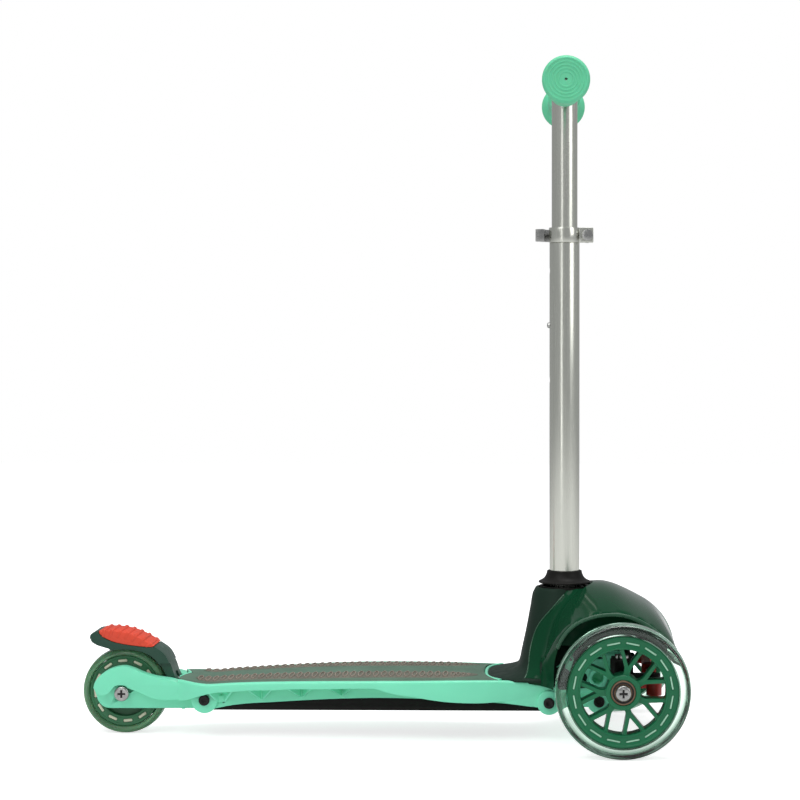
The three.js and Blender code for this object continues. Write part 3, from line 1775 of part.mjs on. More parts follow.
// The wheel arch seen from the side, from its front to its rear
function archPoints(grow, { from, to }) {
  return archShares
    .filter(([degrees]) => degrees >= from && degrees <= to)
    .map(([degrees, share]) => {
      const turn = THREE.MathUtils.degToRad(degrees);
      const radius = (frontWheel.radius + cowl.archGap) * share + grow;
      return [frontWheel.x + radius * Math.cos(turn), frontWheel.radius + radius * Math.sin(turn)];
    });
}

function hoodSolid(inset) {
  const nose = frontWheel.x + frontWheel.radius / 4;
  const rings = hoodShares.map(([along, side, rise, spread, fall]) => {
    const place = hoodRear + along * hood.length;
    const half = side * hood.halfWidth - inset;
    const edge = hoodEdge(place, rise * hoodRidge) - inset;
    const ridge = rise * hoodRidge - inset;
    const x = place > nose ? place - inset : place - Math.sign(inset) * fit;
    const line = [];
    for (const share of [1, 0.94, 0.85, 0.72, 0.58, 0.44, 0.3, 0.15]) {
      const lift = (1 - share ** spread) ** fall;
      line.push([half * share, edge + (ridge - edge) * lift]);
    }
    return ringX(x, [[half, cowl.bottom - Math.sign(inset) * overrun], ...line]);
  });
  return loft(rings, flatX);
}

function cowlBody() {
  const outside = join([neckSolid(0, 0), hoodSolid(0)]);
  const neckInside = neckSolid(-cowl.wall, overrun);
  const inside = join([neckInside, hoodSolid(cowl.wall)]);
  const archFoot = [
    [frontWheel.x - frontWheel.radius - cowl.archGap, 0],
    [frontWheel.x + frontWheel.radius + cowl.archGap, 0],
  ];
  const archCut = slabY(
    [...archPoints(0, { from: 0, to: 180 }), ...archFoot],
    cowl.archInner,
    frontWheel.y
  );
  const lipOuter = hood.halfWidth;
  const lipOutline = [...archPoints(cowl.lip, lipDegrees), ...archPoints(0, lipDegrees).reverse()];
  const lip = slabY(lipOutline, lipOuter - cowl.lip, lipOuter);
  const pocketShape = ovalPoints(
    { rear: steerX - cowl.pocketX, front: steerX + cowl.pocketX, half: cowl.pocketY, power: 2 }
  );
  const pocket = slabZ(pocketShape, neckTop, neckTop + frontWheel.radius);
  const throat = axisZ(cowl.throat, cowl.bottom, neckTop + overrun, sides.tube);
  return outside
    .subtract(inside)
    .subtract(archCut)
    .subtract(mirrored(archCut))
    .subtract(pocket)
    .subtract(throat)
    .add(lip)
    .add(mirrored(lip))
    .subtract(deckEnvelope(fit));
}

place("cowl", cowlBody(), darkGreen);

export default scooter;
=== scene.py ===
"""Three wheel kids scooter, dressed for its studio picture. Metres, with sizes written in millimetres."""

import math

import bmesh
import bpy
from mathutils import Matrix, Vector


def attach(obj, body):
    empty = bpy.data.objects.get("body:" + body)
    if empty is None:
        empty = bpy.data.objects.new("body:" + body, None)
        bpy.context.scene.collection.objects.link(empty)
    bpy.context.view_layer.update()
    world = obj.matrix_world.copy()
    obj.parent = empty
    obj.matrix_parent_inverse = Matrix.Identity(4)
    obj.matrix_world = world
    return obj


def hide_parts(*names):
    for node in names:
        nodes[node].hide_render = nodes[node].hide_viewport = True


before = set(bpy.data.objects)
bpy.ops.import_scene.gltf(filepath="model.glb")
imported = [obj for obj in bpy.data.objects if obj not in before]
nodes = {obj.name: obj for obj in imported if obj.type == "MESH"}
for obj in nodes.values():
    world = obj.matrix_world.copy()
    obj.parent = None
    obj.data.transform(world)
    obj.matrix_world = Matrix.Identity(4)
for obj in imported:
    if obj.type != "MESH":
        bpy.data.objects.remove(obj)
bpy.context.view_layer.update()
scene = bpy.context.scene

MM = 0.001
TURN = 2 * math.pi
MERGE = 0.002 * MM
SMOOTH = math.radians(32)


# Working by hand: picking, drawing, turning, cutting

def mm(values):
    return [value * MM for value in values]


def alone(obj):
    """Picks one object and nothing else."""
    bpy.ops.object.select_all(action="DESELECT")
    obj.select_set(True)
    bpy.context.view_layer.objects.active = obj
    return obj


def editing(obj):
    """Opens an object in edit mode with all of it picked."""
    alone(obj)
    bpy.ops.object.mode_set(mode="EDIT")
    bpy.ops.mesh.select_all(action="SELECT")


def closing():
    bpy.ops.object.mode_set(mode="OBJECT")


def started(name):
    """Names the primitive just added and takes its place into its mesh."""
    obj = bpy.context.object
    obj.name = name
    obj.data.name = name
    bpy.ops.object.transform_apply(location=True, rotation=True, scale=True)
    return obj


def tidied(obj):
    """Merges doubled points and turns the faces outwards."""
    editing(obj)
    bpy.ops.mesh.remove_doubles(threshold=MERGE)
    bpy.ops.mesh.normals_make_consistent(inside=False)
    closing()
    return obj


def shaped(obj, kind, **settings):
    """Adds a modifier, sets it and applies it."""
    alone(obj)
    modifier = obj.modifiers.new(kind.title(), kind)
    for key, value in settings.items():
        setattr(modifier, key, value)
    bpy.ops.object.modifier_apply(modifier=modifier.name)
    return obj


def softened(obj, width, segments=2, angle=35):
    """Rounds the sharp edges."""
    return shaped(obj, "BEVEL", width=width * MM, segments=segments, limit_method="ANGLE",
                  angle_limit=math.radians(angle))


def smoothed(obj, angle=SMOOTH):
    alone(obj)
    bpy.ops.object.shade_smooth_by_angle(angle=angle)
    return obj


def cut(obj, *tools, solver="EXACT"):
    """Takes the tools out of a piece."""
    for tool in tools:
        shaped(obj, "BOOLEAN", operation="DIFFERENCE", solver=solver, object=tool)
        bpy.data.objects.remove(tool)
    return obj


def fused(obj, *others):
    for other in others:
        shaped(obj, "BOOLEAN", operation="UNION", solver="EXACT", object=other)
        bpy.data.objects.remove(other)
    return obj


def kept(obj, tool):
    """Keeps only what lies inside the tool."""
    shaped(obj, "BOOLEAN", operation="INTERSECT", solver="EXACT", object=tool)
    bpy.data.objects.remove(tool)
    return obj


def gathered(name, objs):
    """Several finished shapes as one piece."""
    bpy.ops.object.select_all(action="DESELECT")
    for obj in objs:
        obj.select_set(True)
    bpy.context.view_layer.objects.active = objs[0]
    if len(objs) > 1:
        bpy.ops.object.join()
    objs[0].name = name
    objs[0].data.name = name
    return objs[0]


def copied(obj, name):
    alone(obj)
    bpy.ops.object.duplicate()
    copy = bpy.context.object
    copy.name = name
    copy.data.name = name
    return copy


def wheeled(obj, angle, middle):
    """Turns an object about an axle along Y through a point given in millimetres."""
    x, _, z = mm(middle)
    c, s = math.cos(angle), math.sin(angle)
    for vertex in obj.data.vertices:
        ahead, up = vertex.co.x - x, vertex.co.z - z
        vertex.co.x, vertex.co.z = ahead * c - up * s + x, ahead * s + up * c + z
    return obj


def other_side(obj, name):
    """The same piece on the rider's other side."""
    copy = copied(obj, name)
    copy.scale.y = -1
    bpy.ops.object.transform_apply(location=True, rotation=True, scale=True)
    editing(copy)
    bpy.ops.mesh.flip_normals()
    closing()
    return copy


def drawn(name, points, closed=True):
    """A line through points, drawn by pulling one vertex on from point to point."""
    bpy.ops.object.select_all(action="DESELECT")
    bpy.ops.mesh.primitive_plane_add(size=MM, location=mm(points[0]))
    obj = started(name)
    bpy.ops.object.mode_set(mode="EDIT")
    bpy.ops.mesh.merge(type="CENTER")
    for before, after in zip(points, points[1:]):
        step = mm([b - a for a, b in zip(before, after)])
        bpy.ops.mesh.extrude_region_move(TRANSFORM_OT_translate={"value": step})
    if closed:
        mesh = bmesh.from_edit_mesh(obj.data)
        mesh.edges.new([vertex for vertex in mesh.verts if len(vertex.link_edges) == 1])
        bmesh.update_edit_mesh(obj.data)
    closing()
    return obj


def turned(name, profile, middle, axis="Y", steps=96, closed=True):
    """Spins a profile of (radius, place along the axis) about an axis through middle."""
    x, y, z = middle
    lines = {
        "X": lambda radius, along: (x + along, y, z + radius),
        "Y": lambda radius, along: (x + radius, y + along, z),
        "Z": lambda radius, along: (x + radius, y, z + along),
    }
    obj = drawn(name, [lines[axis](*point) for point in profile], closed)
    editing(obj)
    direction = [float(axis == letter) for letter in "XYZ"]
    bpy.ops.mesh.spin(steps=steps, angle=TURN, center=mm(middle), axis=direction)
    closing()
    return tidied(obj)


def slab(name, outline, low, high, axis="Y"):
    """A flat outline pulled from low to high along an axis."""
    places = {
        "X": lambda a, b: (low, a, b),
        "Y": lambda a, b: (a, low, b),
        "Z": lambda a, b: (a, b, low),
    }
    obj = drawn(name, [places[axis](*point) for point in outline])
    editing(obj)
    bpy.ops.mesh.edge_face_add()
    pull = [(high - low) * MM * (axis == letter) for letter in "XYZ"]
    bpy.ops.mesh.extrude_region_move(TRANSFORM_OT_translate={"value": pull})
    closing()
    return tidied(obj)


def rod(name, radius, start, end, steps=48):
    """A round bar between two points on a line along X, Y or Z."""
    span = [b - a for a, b in zip(start, end)]
    along = max(range(3), key=lambda i: abs(span[i]))
    turns = [(0, math.pi / 2, 0), (math.pi / 2, 0, 0), (0, 0, 0)]
    bpy.ops.object.select_all(action="DESELECT")
    bpy.ops.mesh.primitive_cylinder_add(
        vertices=steps,
        radius=radius * MM,
        depth=abs(span[along]) * MM,
        location=mm([(a + b) / 2 for a, b in zip(start, end)]),
        rotation=turns[along],
    )
    return started(name)


def block(name, low, high):
    bpy.ops.object.select_all(action="DESELECT")
    bpy.ops.mesh.primitive_cube_add(size=1, location=mm([(a + b) / 2 for a, b in zip(low, high)]))
    bpy.context.object.scale = mm([b - a for a, b in zip(low, high)])
    return started(name)


def lofted(name, rings, capped=True):
    """A skin over closed rings of points: a grid is laid over them and its sides are joined."""
    count, last = len(rings[0]), len(rings) - 1
    bpy.ops.object.select_all(action="DESELECT")
    bpy.ops.mesh.primitive_grid_add(x_subdivisions=count, y_subdivisions=last, size=1)
    obj = started(name)
    for vertex in obj.data.vertices:
        i, k = round((vertex.co.x + 0.5) * count), round((vertex.co.y + 0.5) * last)
        vertex.co = mm(rings[k][i % count])
    editing(obj)
    bpy.ops.mesh.remove_doubles(threshold=MERGE)
    if capped:
        bpy.ops.mesh.fill_holes(sides=0)
    closing()
    return tidied(obj)


def slopes_at(rows, i):
    """How steeply each column runs through a row, level at the ends and never past its neighbours."""
    if i in (0, len(rows) - 1):
        return [0] * len(rows[i])
    (start, middle, end), slopes = [row[0] for row in rows[i - 1:i + 2]], []
    for before, here, after in zip(*rows[i - 1:i + 2]):
        back, ahead = (here - before) / (middle - start), (after - here) / (end - middle)
        steady = (after - before) / (end - start)
        limit = min(abs(steady), 3 * min(abs(back), abs(ahead)))
        slopes.append(math.copysign(limit, steady) if back * ahead > 0 else 0)
    return slopes


def eased(rows, place):
    """The columns after the first of a table, at a place in its first column, on smooth curves."""
    way = rows[-1][0] - rows[0][0]
    i = 0
    while i < len(rows) - 2 and (place - rows[i + 1][0]) * way > 0:
        i += 1
    run = rows[i + 1][0] - rows[i][0]
    t = (place - rows[i][0]) / run
    from_low, low_slope, from_high, high_slope = (
        2 * t**3 - 3 * t**2 + 1, t**3 - 2 * t**2 + t, 3 * t**2 - 2 * t**3, t**3 - t**2)
    columns = list(zip(rows[i], rows[i + 1], slopes_at(rows, i), slopes_at(rows, i + 1)))[1:]
    return [a * from_low + p * run * low_slope + b * from_high + q * run * high_slope for a, b, p, q in columns]


def curved(points, steps):
    """Points on a smooth curve through the given points."""
    out = []
    for i in range(len(points) - 1):
        around = [points[min(max(i + k, 0), len(points) - 1)] for k in (-1, 0, 1, 2)]
        for step in range(steps):
            t = step / steps
            out.append([
                0.5 * (2 * b + (c - a) * t + (2 * a - 5 * b + 4 * c - d) * t**2 + (3 * b - a - 3 * c + d) * t**3)
                for a, b, c, d in zip(*around)
            ])
    return out + [list(points[-1])]


# Finishes

def shade(red, green, blue):
    """A colour as seen on a screen, 0 to 255, on the renderer's own scale."""
    values = [value / 255 for value in (red, green, blue)]
    return [v / 12.92 if v <= 0.04045 else ((v + 0.055) / 1.055) ** 2.4 for v in values] + [1.0]


def deeper(colour, share):
    return [value * share for value in colour[:3]] + [1.0]


def with_values(node, **values):
    """Sets sockets by name, with _ for a space."""
    for key, value in values.items():
        node.inputs[key.replace("_", " ")].default_value = value
    return node


def ranged(tree, value, low, high, start=0, end=1):
    """A number that runs from start to end while a value runs from low to high."""
    share = with_values(tree.nodes.new("ShaderNodeMapRange"), From_Min=low, From_Max=high, To_Min=start, To_Max=end)
    tree.links.new(value, share.inputs["Value"])
    return share.outputs["Result"]


def mixed(tree, share, **colours):
    """A mix of the colours A and B. Returns the node."""
    mix = tree.nodes.new("ShaderNodeMix")
    mix.data_type = "RGBA"
    tree.links.new(share, mix.inputs["Factor"])
    return with_values(mix, **colours)


def surface(name, colour, drift=0.08, drift_scale=14, roughness=0.3, rubs=0.1, rub_scale=60,
            grain=1500, depth=0.01, stretch=(1, 1, 1), **sockets):
    """A finish with a drifting colour, fine grain and faint rubs that change its gloss."""
    material = bpy.data.materials.new(name)
    material.use_nodes = True
    tree = material.node_tree
    make, link = tree.nodes.new, tree.links.new
    shader = tree.nodes["Principled BSDF"]
    mapping = with_values(make("ShaderNodeMapping"), Scale=stretch)
    link(make("ShaderNodeTexCoord").outputs["Object"], mapping.inputs["Vector"])

    def noise(**values):
        texture = with_values(make("ShaderNodeTexNoise"), **values)
        link(mapping.outputs["Vector"], texture.inputs["Vector"])
        return texture.outputs["Fac"]

    spread = ranged(tree, noise(Scale=drift_scale, Detail=4), 0.35, 0.65)
    mix = mixed(tree, spread, A=deeper(colour, 1 - drift), B=deeper(colour, 1 + drift))
    link(mix.outputs["Result"], shader.inputs["Base Color"])
    rub = noise(Scale=rub_scale, Detail=9, Roughness=0.68, Distortion=1.2)
    link(ranged(tree, rub, 0.4, 0.7, roughness, min(roughness + rubs, 1)), shader.inputs["Roughness"])
    bump = with_values(make("ShaderNodeBump"), Distance=depth * MM, Strength=1.0)
    link(noise(Scale=grain, Detail=3), bump.inputs["Height"])
    link(bump.outputs["Normal"], shader.inputs["Normal"])
    with_values(shader, **sockets)
    return material


def dressed(obj, material, slot, body, *stands_for):
    """Gives a piece its finish, its body and the CAD nodes it stands for."""
    obj.data.materials.clear()
    obj.data.materials.append(material)
    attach(obj, body)
    if stands_for:
        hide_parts(*stands_for)


def tinted(material, colour, share):
    """Mixes a colour into a material by a share from its own tree."""
    tree = material.node_tree
    base = tree.nodes["Principled BSDF"].inputs["Base Color"]
    mix = mixed(tree, share, B=colour)
    tree.links.new(base.links[0].from_socket, mix.inputs["A"])
    tree.links.new(mix.outputs["Result"], base)


def painted_edge_tone(material, colour, low, high):
    """Paints another colour onto a cast material where it is seen along its skin: painted edge light, which darkens
    the clear tyre and lightens the green one.
    """
    tree = material.node_tree
    weight = with_values(tree.nodes.new("ShaderNodeLayerWeight"), Blend=0.5)
    tinted(material, colour, ranged(tree, weight.outputs["Facing"], low, high))


def painted_tread_shade(material, colour, middle, low, high):
    """Paints a cast tyre deeper in colour towards its tread, in a band of radii about its axle: painted shade."""
    tree = material.node_tree
    vector = tree.nodes.new("ShaderNodeTexCoord").outputs["Object"]
    for operation, values in (("SUBTRACT", mm(middle)), ("MULTIPLY", (1, 0, 1)), ("LENGTH", None)):
        step = tree.nodes.new("ShaderNodeVectorMath")
        step.operation = operation
        if values:
            step.inputs[1].default_value = values
        tree.links.new(vector, step.inputs[0])
        vector = step.outputs[0]
    tinted(material, colour, ranged(tree, step.outputs["Value"], low * MM, high * MM))


MINT = shade(124, 229, 190)
mint = surface("mint_moulding", MINT, drift=0.03, rubs=0.14, depth=0.012, Subsurface_Weight=0.12,
               Subsurface_Radius=(0.6, 1.0, 0.8), Subsurface_Scale=0.003, IOR=1.47)
gloss_green = surface("gloss_dark_green", shade(16, 62, 39), drift=0.06, roughness=0.07, rubs=0.06, grain=600,
                      depth=0.003, Specular_IOR_Level=0.06)
# painted highlight: a lighter green on the arch lips and the crease bead stands in for the light lines along their
# edges
edge_highlight_green = surface("cowl_edge_painted_highlight", shade(42, 86, 62), roughness=0.25, grain=900, depth=0.004,
                     Specular_IOR_Level=0.5)
satin_green = surface("satin_dark_green", shade(22, 42, 32), roughness=0.5, rubs=0.12, grain=1800, depth=0.03,
                      Specular_IOR_Level=0.15)
fender_green = surface("fender_green", shade(36, 70, 56), rubs=0.14, depth=0.015, Specular_IOR_Level=0.3)
core_green = surface("wheel_core_green", shade(24, 104, 68), rubs=0.12, grain=1200, depth=0.012,
                     Subsurface_Weight=0.1, Subsurface_Scale=0.002, Specular_IOR_Level=0.3)
clear = surface("clear_cast_tyre", shade(218, 238, 226), drift=0.03, drift_scale=40, roughness=0.02, rubs=0.03,
                grain=240, depth=0.005, Transmission_Weight=1.0, IOR=1.5)
# painted shade: the clear tyre goes darker at its edges and in a band towards its tread, standing in for dark
# surroundings seen through it
painted_edge_tone(clear, shade(62, 90, 76), 0.12, 0.8)
painted_tread_shade(clear, shade(82, 116, 98), (220.3, 0, 60), 54, 56)  # radii about the front axle
anchor = surface("cast_anchors", shade(164, 212, 184), drift=0.06, drift_scale=90, roughness=0.2, grain=500,
                 depth=0.02, IOR=1.5, Specular_IOR_Level=0.4)
cream = surface("cream_anchors", shade(222, 222, 196), drift=0.06, drift_scale=90, grain=500, depth=0.02,
                Specular_IOR_Level=0.3)
cast_green = surface("green_cast_tyre", shade(98, 148, 108), drift=0.12, drift_scale=30, roughness=0.16, grain=380,
                     depth=0.02, Transmission_Weight=0.5, IOR=1.5, Subsurface_Weight=0.3, Subsurface_Scale=0.006)
# painted highlight: the green tyre goes lighter at its edges, standing in for rim light
painted_edge_tone(cast_green, shade(156, 204, 166), 0.3, 0.95)
rear_green = surface("rear_core_green", shade(58, 112, 78), roughness=0.32, rubs=0.12, grain=1200, depth=0.012,
                     Specular_IOR_Level=0.3)
mat_rubber = surface("deck_mat_rubber", shade(92, 118, 102), drift=0.1, drift_scale=26, roughness=0.72, rubs=0.16,
                     grain=700, depth=0.12, Specular_IOR_Level=0.35)
stud_rubber = surface("mat_loop_rubber", shade(150, 138, 126), drift=0.14, drift_scale=60, roughness=0.6, rubs=0.16,
                      grain=900, depth=0.05)
strip_rubber = surface("loop_strip_rubber", shade(108, 108, 96), drift=0.14, drift_scale=50, roughness=0.7,
                       rubs=0.16, grain=800, depth=0.08)
black = surface("black_moulding", shade(20, 19, 17), drift=0.15, roughness=0.42, rubs=0.16, grain=1400, depth=0.03,
                Specular_IOR_Level=0.15)
red = surface("red_moulding", shade(176, 44, 34), roughness=0.36, rubs=0.14, grain=1300, depth=0.02)
orange = surface("brake_pad_rubber", shade(220, 68, 40), drift_scale=30, roughness=0.5, rubs=0.14, depth=0.05)
grip_rubber = surface("grip_rubber", shade(96, 196, 152), drift=0.05, drift_scale=30, roughness=0.55, rubs=0.12,
                      grain=1300, depth=0.04, Subsurface_Weight=0.1, Subsurface_Scale=0.003)
tube_metal = surface("satin_tube", shade(210, 211, 202), drift=0.05, drift_scale=20, roughness=0.2, rub_scale=90,
                     grain=500, stretch=(6, 6, 0.15), Metallic=1.0)
bar_metal = surface("satin_crossbar", shade(208, 209, 200), drift=0.05, drift_scale=20, roughness=0.2, rub_scale=90,
                    grain=500, stretch=(6, 0.15, 6), Metallic=1.0)
zinc = surface("bright_zinc", shade(168, 168, 166), drift=0.1, drift_scale=120, roughness=0.2, rubs=0.16,
               rub_scale=300, grain=900, depth=0.006, Metallic=1.0)
steel = surface("plain_steel", shade(150, 149, 146), drift=0.14, drift_scale=90, rubs=0.2, rub_scale=200, grain=1300,
                Metallic=1.0)
race = surface("bearing_race", shade(120, 100, 82), drift=0.12, drift_scale=120, roughness=0.28, rubs=0.16,
               rub_scale=260, grain=1200, depth=0.006, Metallic=1.0)
black_steel = surface("blackened_steel", shade(26, 25, 24), drift=0.2, drift_scale=90, roughness=0.32, rubs=0.2,
                      rub_scale=240, Metallic=0.5)
# black rubber for the bearing seals, and painted shade for the dark inserts in the bolts' cross recesses
seal_rubber_and_recess_shade = surface("seal_black_and_painted_recess_shade", shade(16, 15, 14), drift=0.2, roughness=0.6)
black_rubber = surface("black_rubber", shade(24, 24, 24), drift=0.14, roughness=0.75, rubs=0.12, grain=1100,
                       depth=0.06)


# Wheels, modelled on the rider's right, with their axles along Y

BEARING = {"outer": 11, "bore": 4, "half": 3.35, "middle": 8.65}
# half and core_half are half widths, the slots hold the cast tyre, seat and bolt belong to the axle bolt
FRONT = {"x": 220.3, "y": -121, "radius": 60, "half": 12, "core": 49, "core_half": 10, "rim": 37.6, "web": 8,
         "slots": 16, "slot_radius": 43.2, "slot_length": 12.3, "slot_height": 1.9, "slot_turn": 0,
         "seat": 12.6, "bolt": 34}
REAR = {"x": -240.3, "y": 0, "radius": 40, "half": 12, "core": 33, "core_half": 10, "rim": 23.5, "web": 3,
        "slots": 12, "slot_radius": 28, "slot_length": 9, "slot_height": 3.2, "slot_turn": 80,
        "seat": 24.8, "bolt": 53.9}
HUB = {"seat": 11.3, "wall": 4.2, "half": 12}
BOLT = {"radius": 7, "height": 4, "shank": 3.7}
SCREW = {"radius": 5, "height": 3, "shank": 3, "length": 13.7}


def hub_middle(wheel):
    return (wheel["x"], wheel["y"], wheel["radius"])


def tyre(name, wheel):
    """A broad tread with rounded shoulders."""
    radius, half, seat = wheel["radius"], wheel["half"], wheel["core"] + 0.3
    shoulder = (4.2, 5)
    side = [(seat, half * 0.9), (seat + 0.9, half - 0.15), (seat + 1.8, half)]
    for step in range(13):
        turn = math.radians(7.5 * step)
        side.append((radius - 0.5 - shoulder[0] * (1 - math.sin(turn)), half - shoulder[1] * (1 - math.cos(turn))))
    side += [(radius - 0.22, 4.5), (radius - 0.06, 2.2), (radius, 0)]
    whole = side + [(r, -y) for r, y in reversed(side[:-1])]
    return smoothed(turned(name, whole, hub_middle(wheel), steps=144))


def hub_profile(web):
    """The hub's bore, from the web on one side to the web on the other, as radius and place along the axle."""
    seat, half = HUB["seat"], HUB["half"]
    wall, stop = seat + HUB["wall"], half - 7
    side = [(wall, web), (wall, half - 0.6), (wall - 0.6, half), (seat + 0.3, half), (seat, half - 0.3), (seat, stop),
            (seat - 2, stop)]
    return side + [(r, -y) for r, y in reversed(side)]


def rim_profile(wheel):
    """The rim from the web on one side round its outside to the web on the other."""
    half, rim, core = wheel["core_half"], wheel["rim"], wheel["core"]
    side = [(rim, wheel["web"]), (rim, half - 0.8), (rim + 0.3, half - 0.2), (rim + 0.9, half), (rim + 1.7, half),
            (rim + 2, half - 0.5), (core - 2.4, half - 0.5), (core - 2, half), (core - 0.7, half), (core, half - 0.7)]
    return [(r, -y) for r, y in side] + [(r, y) for r, y in reversed(side)]


def slot_row(name, wheel, depth, play):
    """A ring of blocks for a wheel's slots: the tools that cut them or the tabs that fill them."""
    x, y, z = hub_middle(wheel)
    radius, length, height = wheel["slot_radius"], wheel["slot_length"] - play, wheel["slot_height"] - play
    row = []
    for i in range(wheel["slots"]):
        piece = block("slot", (x + radius - height / 2, y - depth, z - length / 2),
                      (x + radius + height / 2, y + depth, z + length / 2))
        softened(piece, min(height, length) * 0.35)
        row.append(wheeled(piece, math.radians(wheel["slot_turn"]) + (i + 0.5) / wheel["slots"] * TURN, (x, y, z)))
    return gathered(name, row)


def core_blank(name, wheel):
    """Hub, web and rim in one turning, with the slots cut through the rim."""
    core = turned(name, hub_profile(wheel["web"]) + rim_profile(wheel), hub_middle(wheel), steps=144)
    return cut(core, slot_row("slots", wheel, 12, 0))


def window(wheel, corners, arc, angle):
    """The tool for one opening between spokes: corners and an arc along the rim, in the frame of a spoke."""
    x, y, z = hub_middle(wheel)
    low, high = arc
    rim = wheel["rim"] + 0.01
    turns = [low + (high - low) * i / 6 for i in range(7)]
    bow = [(rim * math.cos(turn), rim * math.sin(turn)) for turn in turns]
    tool = slab("window", [(x + a, z + b) for a, b in corners + bow], y - 13, y + 13)
    softened(tool, 1.3, 3, 25)
    return wheeled(tool, angle, (x, y, z))


def front_core(name):
    """Seven arms that fork into fourteen spokes, between the hub and a rim with anchor slots."""
    wheel = FRONT
    core = core_blank(name, wheel)
    root, fork, end, arm, limb = 15.6, 19, 38.6, 2.6, 1.7
    spread = math.pi / 14
    across, along = end * math.sin(spread), end * math.cos(spread) - fork
    length = math.hypot(along, across)
    along, across = along / length, across / length
    reach = (wheel["rim"] - fork) / along
    inner = math.atan2(across * reach - limb * along, fork + reach * along + limb * across)
    outer = math.atan2(across * reach + limb * along, fork + reach * along - limb * across)
    run = (arm - limb * along) / across
    elbow = (fork + run * along - limb * across, arm)
    pitch = TURN / 7
    turned_over = [(a * math.cos(pitch) + b * math.sin(pitch), a * math.sin(pitch) - b * math.cos(pitch))
                   for a, b in (elbow, (root, arm))]
    tools = []
    for i in range(7):
        angle = math.radians(78.9) + i * pitch
        tools.append(window(wheel, [(fork + limb / across, 0)], (-inner, inner), angle))
        tools.append(window(wheel, turned_over + [(root, arm), elbow], (outer, pitch - outer), angle))
    cut(core, gathered("windows", tools))
    return smoothed(softened(core, 0.6, angle=40), math.radians(40))


def rear_core(name):
    return smoothed(softened(core_blank(name, REAR), 0.4, angle=40), math.radians(40))


def anchors(name, wheel):
    """The cast material that fills the rim's slots and holds the tyre."""
    return smoothed(slot_row(name, wheel, wheel["core_half"] - 0.6, 0.4))


def bearing(name, wheel, side):
    """Outer race, recessed shield and inner race, with the grooves between them."""
    half, outer, bore = BEARING["half"], BEARING["outer"], BEARING["bore"]
    shield, groove = half - 0.4, half - 1.2
    face = [(bore, shield), (bore + 0.3, half), (bore + 3, half), (bore + 3.1, groove), (bore + 3.8, groove),
            (bore + 3.9, shield), (outer - 2.3, shield), (outer - 2.2, groove), (outer - 1.6, groove),
            (outer - 1.5, half), (outer - 0.4, half), (outer, shield)]
    x, y, z = hub_middle(wheel)
    whole = face + [(r, -y) for r, y in reversed(face)]
    return smoothed(turned(name, whole, (x, y + side * BEARING["middle"], z), steps=80), math.radians(25))


def seal(name, wheel, side):
    """The dark rubber seal between the races of a bearing."""
    half, outer, bore = BEARING["half"], BEARING["outer"], BEARING["bore"]
    low, high = bore + 3.95, outer - 2.35
    profile = [(low, 0), (low, half - 0.3), (low + 0.3, half - 0.1), (low + 1.2, half - 0.1), (low + 1.5, half - 0.3),
               (high - 0.4, half - 0.3), (high, half - 0.5), (high, 0)]
    x, y, z = hub_middle(wheel)
    ring = turned(name, [(r, side * h) for r, h in profile], (x, y + side * BEARING["middle"], z), steps=64)
    return smoothed(ring, math.radians(25))


def cross_head(middle, length):
    """A pan head bolt pointing away from the rider's right, with a cross recess. middle is its seat."""
    x, y, z = middle
    radius, height, shank = BOLT["radius"], BOLT["height"], BOLT["shank"]
    dome = [(0, -height)]
    for step in range(1, 9):
        turn = math.radians(step * 11.25)
        dome.append((radius - height * 0.45 * (1 - math.sin(turn)), -height + height * 0.45 * (1 - math.cos(turn))))
    profile = dome + [(radius, -0.2), (radius - 0.2, 0), (shank, 0), (shank, length - 0.6), (shank - 0.6, length),
                      (0, length)]
    bolt = turned("bolt", profile, middle, steps=72, closed=False)
    long, wide, top = radius * 0.52, radius * 0.13, y - height
    for half_x, half_z in ((long, wide), (wide, long)):
        cut(bolt, block("recess", (x - half_x, top - 1, z - half_z), (x + half_x, top + height * 0.6, z + half_z)))
    return bolt


def cross_recess_shade(name, middle):
    """A dark insert in a cross recess: painted shade where the recess lies in shadow."""
    x, y, z = middle
    radius, height = BOLT["radius"], BOLT["height"]
    long, wide, top, low = radius * 0.52 - 0.05, radius * 0.13 - 0.05, y - height * 0.72, y - height * 0.3
    arms = [block("arm", (x - long, top, z - wide), (x + long, low, z + wide)),
            block("arm", (x - wide, top + 0.1, z - long), (x + wide, low, z + long))]
    return softened(gathered(name, arms), 0.15)


def axle_bolt(wheel, label):
    """The bolt of a wheel, with its head on the rider's right, and the painted shade insert of its recess."""
    x, y, z = hub_middle(wheel)
    seat = (x, y - wheel["seat"], z)
    bolt = smoothed(softened(cross_head(seat, wheel["bolt"]), 0.25))
    bolt.name = bolt.data.name = label + "bolt"
    return bolt, cross_recess_shade(label + "painted_recess_shade", seat)


def hex_head(middle):
    """A screw with a low round head and a hex socket. middle is its seat."""
    x, y, z = middle
    radius, height, shank, length = (SCREW[key] for key in ("radius", "height", "shank", "length"))
    profile = [(0, -height), (radius - 0.9, -height), (radius - 0.3, -height + 0.3), (radius, -height + 0.9),
               (radius, -0.2), (radius - 0.2, 0), (shank, 0), (shank, length), (0, length)]
    bolt = turned("screw", profile, middle, steps=64, closed=False)
    socket = rod("socket", radius * 0.5, (x, y - height - 1, z), (x, y - height * 0.35, z), steps=6)
    return cut(bolt, socket)


